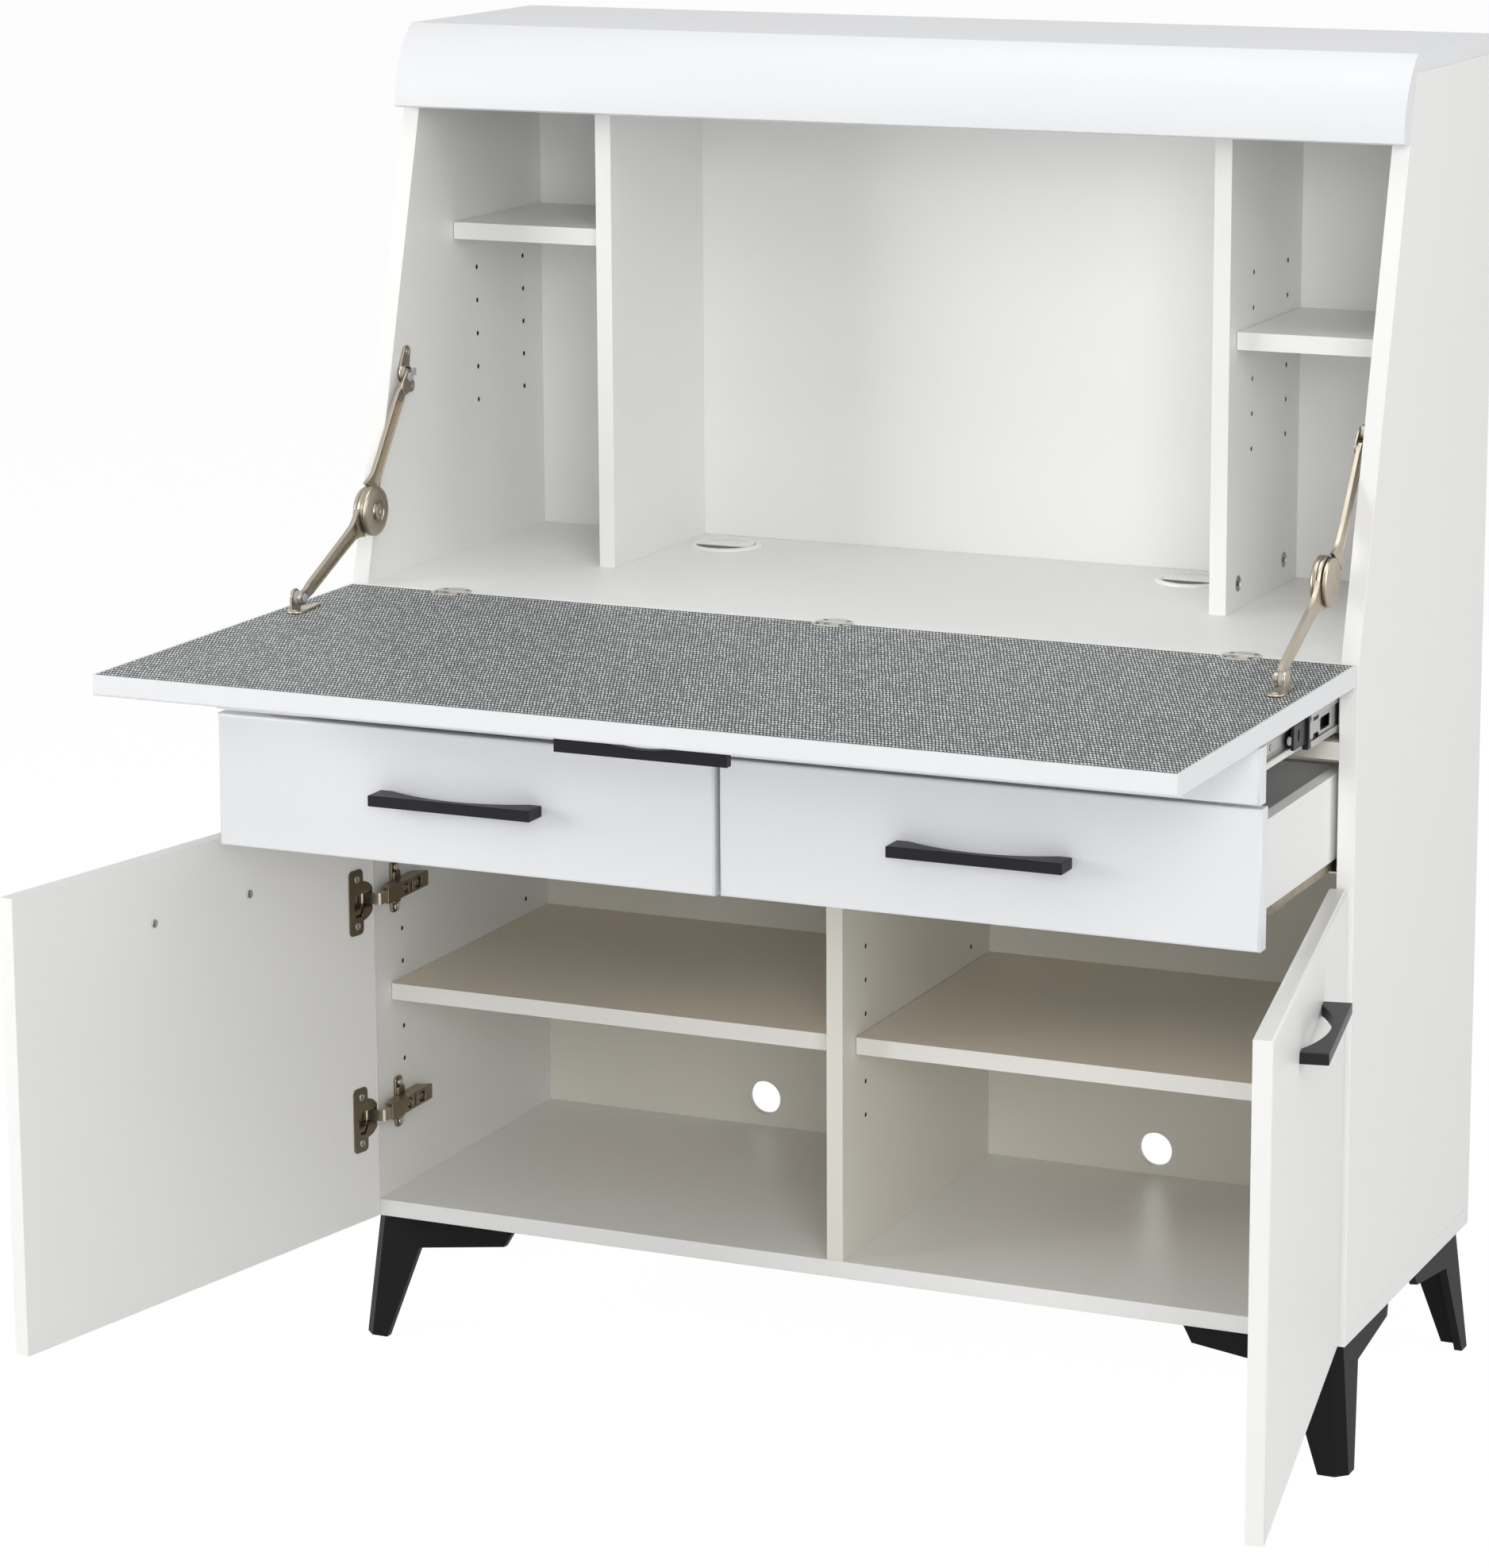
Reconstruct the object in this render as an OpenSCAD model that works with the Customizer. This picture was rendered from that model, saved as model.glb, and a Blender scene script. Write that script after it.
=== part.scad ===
// Secretary desk: carcass with slanted front, drop flap on three round hinges and two
// folding stays, pull-out tray, two drawers, two cup-hinged doors, shelves and splayed legs.
// Millimetres, +Z up, -Y towards the user, origin on the floor under the middle of the open desk.

/* [Carcass] */
// Overall carcass width
body_w = 974; // [930:2:1040]
// Carcass depth, without the door fronts
body_d = 384; // [376:1:400]
// Carcass height above the legs
body_h = 1119; // [1100:1:1150]
// Board thickness
board_t = 16; // [16:1:18]
// Height of the worktop surface above the carcass underside
work_z = 611; // [606:1:616]
// Height where the side panels start to lean back
kink_z = 607; // [602:1:608]
// Lean of the upper front edge, from vertical
slant_deg = 15.2; // [14:0.1:16]
// Front face of the upper back panel
upper_back_y = 366; // [360:1:368]
// Front face of the lower back panel
lower_back_y = 361; // [356:1:366]
// Back panel thickness
back_t = 8; // [5:1:8]

/* [Fascia] */
// Radius of the curved front
fascia_r = 90; // [86:1:94]
// Underside height of the fascia
fascia_z = 1043; // [1043:1:1048]
// Foremost point of the fascia
fascia_y = 100; // [98:1:104]

/* [Upper compartments] */
// Outer compartment width between side panel and divider
pigeon_w = 159.5; // [150:0.5:170]
// Front edge of the dividers and depth line
divider_y = 163.5; // [155:0.5:172]
// Front edge of the small shelves
small_shelf_y = 181.5; // [176:0.5:190]
// First shelf pin row
upper_row_z = 912.5; // [904:0.5:920]
// Rows in each upper column
upper_rows = 6; // [4:1:7]
// Row carrying the left shelf
left_shelf_row = 0; // [0:1:3]
// Row carrying the right shelf
right_shelf_row = 2; // [0:1:3]

/* [Lower compartments] */
// Front edge of the lower shelves
low_shelf_y = 29.5; // [28:0.5:40]
// First shelf pin row of the middle divider
lower_row_z = 301; // [296:1:305]
// Row carrying the lower shelves
low_shelf_row = 3; // [3:1:4]
// Cable hole radius
cable_r = 17; // [12:1:20]
// Cable hole centre height
cable_z = 43; // [40:1:70]

/* [Grommets] */
// Grommet bore radius
grommet_r = 28; // [24:1:30]
// Left grommet position across the desk
grommet_xl = -249; // [-255:1:-235]
// Right grommet position across the desk
grommet_xr = 228; // [215:1:235]
// Grommet centre from the front edge
grommet_y = 313; // [300:1:320]

/* [Flap] */
// Flap thickness with its laminate
flap_t = 18.6; // [18:0.1:19]
// Flap depth when it lies open
flap_l = 452; // [444:1:452]
// Laminate sheet thickness
laminate_t = 0.8; // [0.6:0.1:1.2]
// White edge left around the laminate
laminate_edge = 2; // [1:0.5:4]
// Hinge pin height below the writing surface
flap_pin_drop = 6.4; // [6.2:0.1:6.6]
// Outer hinges, distance from the middle
flap_hinge_x = 382; // [330:1:390]

/* [Fronts] */
// Thickness of doors and drawer fronts
front_t = 16; // [16:0.5:16.5]
// Edge rounding of the fronts
edge_r = 3; // [2:0.5:3]
// Door height
door_h = 411; // [405:1:411]
// Drawer front height
drawer_h = 120; // [112:1:120]
// Tray front height
tray_h = 48; // [44:1:48]
// Gap between fronts, top to bottom
reveal = 4; // [4:0.5:5]
// Opening angle of the doors
door_open = 100.8; // [90:0.2:101]
// Pull-out of the tray
tray_out = 238; // [200:1:240]
// Pull-out of the left drawer
drawer_out_l = 236; // [200:1:240]
// Pull-out of the right drawer
drawer_out_r = 232; // [200:1:240]

/* [Handles] */
// Handle length
handle_l = 157; // [150:1:175]
// How far a handle stands off
handle_d = 24; // [20:1:26]
// Handle thickness
handle_t = 10; // [8:1:12]
// Handle height on the doors, below the door's top edge
door_handle_drop = 60; // [50:1:80]

/* [Legs] */
// Leg height
leg_h = 120; // [100:1:140]
// Outward splay over the leg height
leg_splay = 11; // [6:1:12]
// Wall of the leg angle
leg_wall = 7.5; // [6:0.5:9]
// Length of each leg wing
leg_wing = 147; // [130:1:155]

/* [Stays] */
// Upper pivot from the front edge
stay_up_y = 71; // [69:0.5:72]
// Upper pivot height
stay_up_z = 796; // [795:0.5:799]
// Knuckle from the front edge
stay_mid_y = -11.6; // [-12:0.2:-11]
// Knuckle height
stay_mid_z = 682.6; // [682:0.2:683.4]
// Flap pivot from the front edge
stay_low_y = -140; // [-141:0.2:-139]
// Flap pivot height above the writing surface
stay_low_h = 12.5; // [12:0.1:13.5]
// Brake disc radius
stay_disc_r = 23; // [20:0.5:24]

/* [Hidden] */

$fn = 48;
eps = 0.01;
big = 400;
white = [0.93, 0.94, 0.95];
inner_white = [0.89, 0.89, 0.87];
black = [0.09, 0.09, 0.10];
nickel = [0.68, 0.64, 0.58];
bronze = [0.42, 0.36, 0.30];
zinc = [0.66, 0.66, 0.65];
plastic = [0.95, 0.95, 0.94];
grey = [0.42, 0.45, 0.45];

pitch = 32;
half_w = body_w / 2;
inner_x = half_w - board_t;
under_work = work_z - board_t;
under_top = body_h - board_t;
slope = tan(slant_deg);
top_y = (under_top - kink_z) * slope + 2.2;
upper_div_x = inner_x - pigeon_w;
upper_front_col = 229;
upper_back_col = 326;
lower_front_col = 54;
lower_back_col = 313;
low_side_rows = 5;
hole_r = 2.5;
hole_depth = 7.6;
pin_r = 2.45;
peg_l = 7.4;
shelf_gap = 0.7;
low_div_x = board_t / 2;

// stacked fronts, from the carcass underside up
front_gap = 2;
door_z = 3;
drawer_z = door_z + door_h + reveal;
drawer_top = drawer_z + drawer_h;
tray_z = drawer_top + reveal;
rail_z = tray_z - board_t;
rail_d = 90;

// flap swing
flap_pin_y = -7.8;
flap_back_y = -4;
flap_pin_z = work_z - flap_pin_drop;
flap_half = half_w - 1;

// door hinge swing, measured from the inner face of the side panel
door_edge_x = 1 - board_t;
door_pin_x = -6.8;
door_pin_y = -11.6;
door_w = half_w - 2.5;
cup_x = door_edge_x + 20.5;
cup_r = 17.5;
cup_depth = 12.5;
cup_wall = 0.8;
cup_floor = 0.5;
hinge_pin_r = 1;
hinge_eye_r = 2.3;
hinge_zs = [103, 314];
run_fit = 0.05;
door_reach = door_w + door_edge_x - door_pin_x;

// the open doors reach furthest forward, so they set the middle of the footprint
front_reach = door_pin_y - door_reach * sin(door_open)
    + (-front_gap - door_pin_y) * cos(door_open);
leg_inset = 8;
back_reach = body_d + max(0, leg_splay - leg_inset);
org_y = (back_reach + front_reach) / 2;

// drawers
box_t = 12;
box_gap = 5;
box_z = drawer_z + 18;
box_h = 76;
box_l = 320;
drawer_floor_t = 4;
floor_lift = 5;

// tray
rail_h = 35;
rail_deep = 12.6;
tray_box_z = tray_z + 7;
tray_box_h = 36;
tray_x = inner_x - rail_deep - 0.4;
tray_l = 320;
rail_l = 300;
rail_mid_z = tray_box_z + 18;

stay_low_z = work_z + stay_low_h;
stay_x0 = inner_x - 19.6;
stay_split = inner_x - 12.8;
stay_x1 = inner_x - 6;
stay_arm_t = 4.4;
stay_pin_r = 3;
hub_r = 4;

// moves from carcass coordinates to the part's own origin
module place() {
    translate([0, -org_y, leg_h])
        children();
}

// left (side = -1) or right (side = 1), drawn as for the right-hand side
module handed(side) {
    if (side > 0)
        children();
    else
        mirror([1, 0, 0])
            children();
}

// a box given by its low and high corners
module box(low, high) {
    translate(low)
        cube([high[0] - low[0], high[1] - low[1], high[2] - low[2]]);
}

// a profile drawn in Y and Z, run along X
module along_x(x0, x1) {
    translate([x0, 0, 0])
        rotate([90, 0, 90])
            linear_extrude(x1 - x0)
                children();
}

// a cylinder along X
module rod_x(x0, x1, y, z, r) {
    translate([x0, y, z])
        rotate([0, 90, 0])
            cylinder(h = x1 - x0, r = r);
}

// shelf pin holes in one face of an upright board
module pin_holes(face_x, inwards, cols, z0, rows) {
    for (y = cols)
        for (k = [0 : rows - 1])
            rod_x(min(face_x, face_x + inwards * hole_depth) - (inwards > 0 ? eps : 0),
                max(face_x, face_x + inwards * hole_depth) + (inwards > 0 ? 0 : eps),
                y, z0 - k * pitch, hole_r);
}

module side_board() {
    difference() {
        along_x(inner_x, half_w)
            polygon([[0, board_t], [body_d, board_t], [body_d, under_top],
                [(under_top - kink_z) * slope, under_top], [0, kink_z]]);
        pin_holes(inner_x, 1, [upper_front_col, upper_back_col], upper_row_z, upper_rows);
        pin_holes(inner_x, 1, [lower_front_col, lower_back_col],
            lower_row_z - pitch, low_side_rows);
    }
}

module side_panel_left() {
    color(white) place() handed(-1) side_board();
}

module side_panel_right() {
    color(white) place() side_board();
}

module top_board() {
    color(white) place()
        box([-half_w, top_y, under_top], [half_w, body_d, body_h]);
}

module bottom_board() {
    color(white) place()
        box([-half_w, 0, 0], [half_w, body_d, board_t]);
}

// curved cover over the front of the top board, its back on the leaning edges
module fascia() {
    lip = 4;
    color(white) place()
        along_x(-half_w, half_w)
            intersection() {
                polygon([[fascia_y - 5, fascia_z + lip],
                    [fascia_y + lip, fascia_z],
                    [(fascia_z - kink_z) * slope, fascia_z],
                    [(under_top - kink_z) * slope, under_top],
                    [top_y, under_top], [top_y, body_h], [fascia_y - 5, body_h]]);
                union() {
                    translate([fascia_y + fascia_r, fascia_z + lip])
                        circle(r = fascia_r, $fn = 96);
                    translate([fascia_y + lip, fascia_z])
                        square([fascia_r, lip]);
                    translate([fascia_y + lip, fascia_z + lip])
                        circle(r = lip);
                }
            }
}

module grommet_seats(r, z0, z1) {
    for (x = [grommet_xl, grommet_xr])
        translate([x, grommet_y, z0])
            cylinder(h = z1 - z0, r = r);
}

module worktop() {
    color(inner_white) place()
        difference() {
            along_x(-inner_x, inner_x)
                polygon([[0, under_work], [body_d, under_work], [body_d, work_z],
                    [(work_z - kink_z) * slope, work_z], [0, kink_z]]);
            grommet_seats(grommet_r + 2, under_work - 1, work_z + 1);
            for (x = [-flap_hinge_x, 0, flap_hinge_x]) {
                translate([x, -2, work_z - 12.2])
                    cylinder(h = 13, r = 17.5);
                translate([x, -2, work_z - 1.2])
                    cylinder(h = 2, r = 19);
            }
        }
}

module front_rail() {
    color(inner_white) place()
        box([-inner_x, 0, rail_z], [inner_x, rail_d, rail_z + board_t]);
}

module lower_divider() {
    color(inner_white) place()
        difference() {
            box([-low_div_x, 0, board_t], [low_div_x, lower_back_y, rail_z]);
            for (s = [-1, 1])
                pin_holes(s * low_div_x, -s, [lower_front_col, lower_back_col],
                    lower_row_z, low_side_rows + 1);
        }
}

module upper_divider() {
    difference() {
        box([upper_div_x - board_t, divider_y, work_z],
            [upper_div_x, upper_back_y, under_top]);
        pin_holes(upper_div_x, -1, [upper_front_col, upper_back_col],
            upper_row_z, upper_rows);
        for (y = [divider_y + 34, upper_back_y - 38])
            rod_x(upper_div_x - 12.5, upper_div_x + 1, y, work_z + 23.5, 7.5);
    }
}

module upper_divider_left() {
    color(inner_white) place() handed(-1) upper_divider();
}

module upper_divider_right() {
    color(inner_white) place() upper_divider();
}

module small_shelf(row) {
    z = upper_row_z - row * pitch;
    box([upper_div_x + shelf_gap, small_shelf_y, z],
        [inner_x - shelf_gap, upper_back_y, z + board_t]);
}

module upper_shelf_left() {
    color(inner_white) place() handed(-1) small_shelf(left_shelf_row);
}

module upper_shelf_right() {
    color(inner_white) place() small_shelf(right_shelf_row);
}

low_shelf_z = lower_row_z - low_shelf_row * pitch;

module low_shelf() {
    box([low_div_x + shelf_gap, low_shelf_y, low_shelf_z],
        [inner_x - shelf_gap, lower_back_y, low_shelf_z + board_t]);
}

module lower_shelf_left() {
    color(inner_white) place() handed(-1) low_shelf();
}

module lower_shelf_right() {
    color(inner_white) place() low_shelf();
}

module back_panel_upper() {
    color(inner_white) place()
        box([-inner_x, upper_back_y, work_z], [inner_x, upper_back_y + back_t, under_top]);
}

module back_panel_lower() {
    color(inner_white) place()
        difference() {
            box([-inner_x, lower_back_y, board_t],
                [inner_x, lower_back_y + back_t, under_work]);
            for (p = [[-232, cable_z + 2], [181, cable_z - 2]])
                translate([p[0], lower_back_y - 1, p[1]])
                    rotate([-90, 0, 0])
                        cylinder(h = back_t + 2, r = cable_r);
        }
}

// peg in the board with a flat tab under the shelf
module shelf_pin(face_x, inwards, y, z) {
    rod_x(min(face_x, face_x + inwards * peg_l), max(face_x, face_x + inwards * peg_l),
        y, z, pin_r);
    box([min(face_x, face_x - inwards * 7), y - 4, z - 3],
        [max(face_x, face_x - inwards * 7), y + 4, z]);
}

module shelf_pins() {
    color(zinc) place() {
        for (s = [-1, 1])
            handed(s)
                for (y = [upper_front_col, upper_back_col]) {
                    row = s < 0 ? left_shelf_row : right_shelf_row;
                    shelf_pin(inner_x, 1, y, upper_row_z - row * pitch);
                    shelf_pin(upper_div_x, -1, y, upper_row_z - row * pitch);
                }
        for (s = [-1, 1])
            handed(s)
                for (y = [lower_front_col, lower_back_col]) {
                    shelf_pin(inner_x, 1, y, low_shelf_z);
                    shelf_pin(low_div_x, -1, y, low_shelf_z);
                }
    }
}

module cam_fittings() {
    color(zinc) place()
        for (s = [-1, 1])
            handed(s)
                for (y = [divider_y + 34, upper_back_y - 38])
                    difference() {
                        rod_x(upper_div_x - 12.4, upper_div_x, y, work_z + 23.5, 7.4);
                        rod_x(upper_div_x - 3, upper_div_x + 1, y, work_z + 23.5, 2.2);
                    }
}

module cable_grommets() {
    color(plastic) place()
        for (x = [grommet_xl, grommet_xr])
            translate([x, grommet_y, 0])
                rotate_extrude($fn = 72)
                    polygon([[grommet_r, under_work], [grommet_r + 1.9, under_work],
                        [grommet_r + 1.9, work_z], [grommet_r + 7, work_z],
                        [grommet_r + 6, work_z + 1.6], [grommet_r + 1, work_z + 1.6],
                        [grommet_r, work_z + 0.8]]);
}

// L-shaped leg under one corner, drawn for the front right corner
module leg_flange() {
    rotate([90, 0, 0])
        translate([0, 0, -leg_wall])
            linear_extrude(leg_wall)
                polygon([[0, 6], [-leg_wing - 3, 6], [-leg_wing, 0],
                    [-leg_wing + 10, -17.5], [-47, -29.5],
                    [leg_splay - 24, -leg_h - 6], [leg_splay + 0.5, -leg_h - 6]]);
}

module leg() {
    tilt = atan(leg_splay / leg_h);
    lean = atan(leg_splay * sqrt(2) / leg_h);
    translate([half_w - 7, leg_inset, 0])
        difference() {
            union() {
                rotate([-tilt, 0, 0])
                    leg_flange();
                mirror([1, 1, 0])
                    rotate([-tilt, 0, 0])
                        leg_flange();
            }
            box([-big, -big, 0], [big, big, 50]);
            box([-big, -big, -leg_h - 50], [big, big, -leg_h]);
            rotate([0, 0, -45])
                rotate([0, -lean, 0])
                    box([-7, -50, -200], [50, 50, 50]);
        }
}

module leg_front_left() {
    color(black) place() handed(-1) leg();
}

module leg_front_right() {
    color(black) place() leg();
}

module back_leg() {
    translate([0, body_d, 0])
        mirror([0, 1, 0])
            leg();
}

module leg_back_left() {
    color(black) place() handed(-1) back_leg();
}

module leg_back_right() {
    color(black) place() back_leg();
}

// turns local hinge coordinates (inwards from the side panel) into carcass X
function hx(v) = inner_x - v;

// swings a door from closed to open
module door_pose() {
    translate([hx(door_pin_x), door_pin_y, 0])
        rotate([0, 0, door_open])
            translate([-hx(door_pin_x), -door_pin_y, 0])
                children();
}

// fixed gooseneck arm: eye round the pin, cranked link, body on its plate
module hinge_arm(z) {
    link_h = 10;
    difference() {
        union() {
            translate([hx(door_pin_x), door_pin_y, z - link_h / 2])
                cylinder(h = link_h, r = hinge_eye_r);
            box([hx(14), door_pin_y - 1.1, z - link_h / 2],
                [hx(door_pin_x), door_pin_y + 1.1, z + link_h / 2]);
            box([hx(14), door_pin_y - 1.1, z - link_h / 2],
                [hx(11.4), 10, z + link_h / 2]);
            difference() {
                box([hx(15), 9, z - 8], [hx(3), 82, z + 8]);
                box([hx(13.6), 12, z - 6.6], [hx(0), 83, z + 6.6]);
            }
            rod_x(hx(15.6), hx(13), 42, z, 4);
            rod_x(hx(15.6), hx(13), 64, z, 4);
        }
        translate([hx(door_pin_x), door_pin_y, z - link_h])
            cylinder(h = 2 * link_h, r = hinge_pin_r + run_fit);
    }
}

module door_hinge_arms() {
    color(bronze) place()
        for (s = [-1, 1])
            handed(s)
                for (z = hinge_zs)
                    hinge_arm(z);
}

module door_hinge_plates() {
    color(bronze) place()
        for (s = [-1, 1])
            handed(s)
                for (z = hinge_zs) {
                    difference() {
                        union() {
                            box([hx(2.8), 26, z - 6.4], [hx(0), 76, z + 6.4]);
                            box([hx(13), 30, z - 6.4], [hx(0), 74, z + 6.4]);
                            box([hx(2.8), 30, z - 25], [hx(0), 44, z + 25]);
                        }
                        for (k = [-1, 1])
                            rod_x(hx(3.5), hx(1), 37, z + k * pitch / 2, 1.6);
                    }
                    for (k = [-1, 1])
                        difference() {
                            rod_x(hx(5), hx(2.8), 37, z + k * pitch / 2, 4);
                            rod_x(hx(6), hx(4), 37, z + k * pitch / 2, 1.4);
                        }
                }
}

// fixed half of a round flap hinge with the tongue that carries the pin
module flap_hinge_fixed() {
    color(nickel) place()
        for (x = [-flap_hinge_x, 0, flap_hinge_x])
            difference() {
                union() {
                    difference() {
                        union() {
                            translate([x, -2, work_z - 12])
                                cylinder(h = 12, r = 17.4);
                            translate([x, -2, work_z - 1.1])
                                cylinder(h = 1.1, r = 18.9);
                        }
                        box([x - 30, -40, work_z - 20], [x + 30, 1.4, work_z + 5]);
                    }
                    box([x - 6, flap_pin_y, flap_pin_z - 2], [x + 6, 2, flap_pin_z + 2]);
                    rod_x(x - 6, x + 6, flap_pin_y, flap_pin_z, 3.2);
                }
                rod_x(x - 8, x + 8, flap_pin_y, flap_pin_z, 1.5 + run_fit);
                for (k = [-1, 1])
                    translate([x + k * 11, 8, work_z - 1])
                        cylinder(h = 2, r = 2.6);
            }
}

// side bracket: plate, boss and stud that end just short of the arm
module stay_bracket() {
    plate_y = 85;
    difference() {
        union() {
            box([inner_x - 2.6, plate_y - 7, 786], [inner_x, plate_y + 7, 817]);
            rod_x(inner_x - 2.6, inner_x, plate_y, 817, 7);
            rod_x(inner_x - 2.6, inner_x, plate_y, 786, 7);
            box([inner_x - 2.6, stay_up_y, stay_up_z - 7], [inner_x, plate_y, stay_up_z + 7]);
            rod_x(inner_x - 2.6, inner_x, stay_up_y, stay_up_z, 8);
            rod_x(stay_split + 0.3, inner_x, stay_up_y, stay_up_z, 5);
        }
        for (z = [786, 817])
            rod_x(inner_x - 3, inner_x + 1, plate_y, z, 2);
    }
}

module stay_brackets() {
    color(nickel) place()
        for (s = [-1, 1])
            handed(s) stay_bracket();
}

// cabinet member of the tray slide, open towards the tray
module tray_rails_fixed() {
    color(zinc) place()
        for (s = [-1, 1])
            handed(s)
                difference() {
                    box([inner_x - rail_deep, 2, rail_mid_z - rail_h / 2],
                        [inner_x, 2 + rail_l, rail_mid_z + rail_h / 2]);
                    box([inner_x - rail_deep - 1, 1, rail_mid_z - rail_h / 2 + 1.4],
                        [inner_x - 1.4, 3 + rail_l, rail_mid_z + rail_h / 2 - 1.4]);
                }
}

// cabinet rails under the drawers, on the side panels and on the divider
module runner(x_face, inwards) {
    lo = min(x_face, x_face + inwards * 19);
    hi = max(x_face, x_face + inwards * 19);
    web_lo = min(x_face, x_face + inwards * 2);
    web_hi = max(x_face, x_face + inwards * 2);
    box([lo, 8, box_z - 12], [hi, 308, box_z - 10]);
    box([web_lo, 8, box_z - 12], [web_hi, 308, box_z + 4]);
}

module drawer_runners() {
    color(zinc) place()
        for (s = [-1, 1])
            handed(s) {
                runner(inner_x, -1);
                runner(low_div_x, 1);
            }
}

// flap, drawn lying open
module flap_hinge_seats() {
    for (x = [-flap_hinge_x, 0, flap_hinge_x]) {
        translate([x, -2, work_z - 12.2])
            cylinder(h = 13, r = 17.5);
        translate([x, -2, work_z - 1.2])
            cylinder(h = 2, r = 19);
    }
}

flap_front_y = flap_back_y - flap_l;

module flap_board() {
    color(white) place()
        difference() {
            intersection() {
                along_x(-flap_half, flap_half)
                    flap_section();
                translate([0, 0, work_z - flap_t])
                    linear_extrude(flap_t)
                        flap_outline();
            }
            box([-flap_half + laminate_edge, flap_front_y + laminate_edge,
                work_z - laminate_t],
                [flap_half - laminate_edge, flap_back_y - 1.5, work_z + 1]);
            flap_hinge_seats();
        }
}

module flap_section() {
    r = edge_r;
    z0 = work_z - flap_t;
    translate([flap_front_y, z0 + r])
        square([flap_l, flap_t - r]);
    translate([flap_front_y + r, z0])
        square([flap_l - r, flap_t]);
    translate([flap_front_y + r, z0 + r])
        circle(r = r);
}

module flap_outline() {
    r = 1.5;
    translate([-flap_half, flap_front_y + r])
        square([2 * flap_half, flap_l - r]);
    translate([-flap_half + r, flap_front_y])
        square([2 * flap_half - 2 * r, 2 * r]);
    for (s = [-1, 1])
        translate([s * (flap_half - r), flap_front_y + r])
            circle(r = r);
}

module flap_laminate() {
    color(grey) place()
        difference() {
            box([-flap_half + laminate_edge, flap_front_y + laminate_edge,
                work_z - laminate_t],
                [flap_half - laminate_edge, flap_back_y - 1.5, work_z]);
            flap_hinge_seats();
        }
}

// bow handle: straight outer face, arched inner side, drawn standing off -Y
module bow_handle() {
    foot = 12;
    sag = handle_d - 8;
    half = handle_l / 2 - foot;
    arc_r = (half * half + sag * sag) / (2 * sag);
    difference() {
        translate([-handle_l / 2, -handle_d, -handle_t / 2])
            cube([handle_l, handle_d, handle_t]);
        translate([0, arc_r - sag, -handle_t])
            cylinder(h = 2 * handle_t, r = arc_r, $fn = 160);
    }
}

flap_handle_y = -397;

module flap_handle() {
    color(black) place()
        translate([0, flap_handle_y, work_z - flap_t])
            rotate([90, 0, 0])
                bow_handle();
}

// flap half of the round hinge: open pot, slotted cover, cheeks and pin
module flap_hinge_cups() {
    color(nickel) place()
        for (x = [-flap_hinge_x, 0, flap_hinge_x]) {
            difference() {
                union() {
                    translate([x, -2, work_z - 12])
                        cylinder(h = 12, r = 17.4);
                    translate([x, -2, work_z - 1.1])
                        cylinder(h = 1.1, r = 18.9);
                }
                box([x - 30, flap_back_y - 0.2, work_z - 20], [x + 30, 40, work_z + 5]);
                intersection() {
                    translate([x, -2, work_z - 11])
                        cylinder(h = 9.8, r = 16.4);
                    box([x - 30, -40, work_z - 11], [x + 30, 40, work_z - 1.2]);
                }
                box([x - 7.4, -13.6, work_z - 2], [x + 7.4, 40, work_z + 1]);
                for (k = [-1, 1])
                    translate([x + k * 11.5, -11, work_z - 1])
                        cylinder(h = 2, r = 2.4);
            }
            for (k = [-1, 1])
                translate([x + k * 8, 0, 0])
                    box([-1.4, flap_pin_y - 3, work_z - 11],
                        [1.4, flap_pin_y + 3, work_z - 1.3]);
            rod_x(x - 9, x + 9, flap_pin_y, flap_pin_z, 1.5);
        }
}

// foot on the flap: drop-shaped base, upright lug and pin for the lower arm
module stay_foot() {
    lug_x = inner_x - 4;
    mid_x = inner_x - 9.6;
    base_t = 2.4;
    nose = 9.2;
    tail = 4;
    front = stay_low_y - 9;
    back = stay_low_y + 28;
    difference() {
        union() {
            translate([mid_x, 0, work_z])
                linear_extrude(base_t)
                    polygon([[-nose, front], [nose, front], [tail, back], [-tail, back]]);
            translate([mid_x, front, work_z])
                cylinder(h = base_t, r = nose);
            translate([mid_x, back, work_z])
                cylinder(h = base_t, r = tail);
            box([lug_x, stay_low_y - 8, work_z + 1],
                [lug_x + 2.6, stay_low_y + 8, stay_low_z]);
            rod_x(lug_x, lug_x + 2.6, stay_low_y, stay_low_z, 8);
            rod_x(stay_split - 1, lug_x + 1, stay_low_y, stay_low_z, stay_pin_r);
        }
        for (y = [front - 3, back - 6])
            translate([mid_x, y, work_z - 1])
                cylinder(h = 5, r = 1.8);
    }
}

module stay_feet() {
    color(nickel) place()
        for (s = [-1, 1])
            handed(s) stay_foot();
}

// flat bar between two points of the stay's plane
module stay_bar(x0, x1, a, b, w) {
    d = b - a;
    len = norm(d);
    ang = atan2(d[1], d[0]);
    translate([x0, a[0], a[1]])
        rotate([ang, 0, 0])
            box([0, 0, -w / 2], [x1 - x0, len, w / 2]);
}

up_p = [stay_up_y, stay_up_z];
mid_p = [stay_mid_y, stay_mid_z];
low_p = [stay_low_y, stay_low_z];

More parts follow.
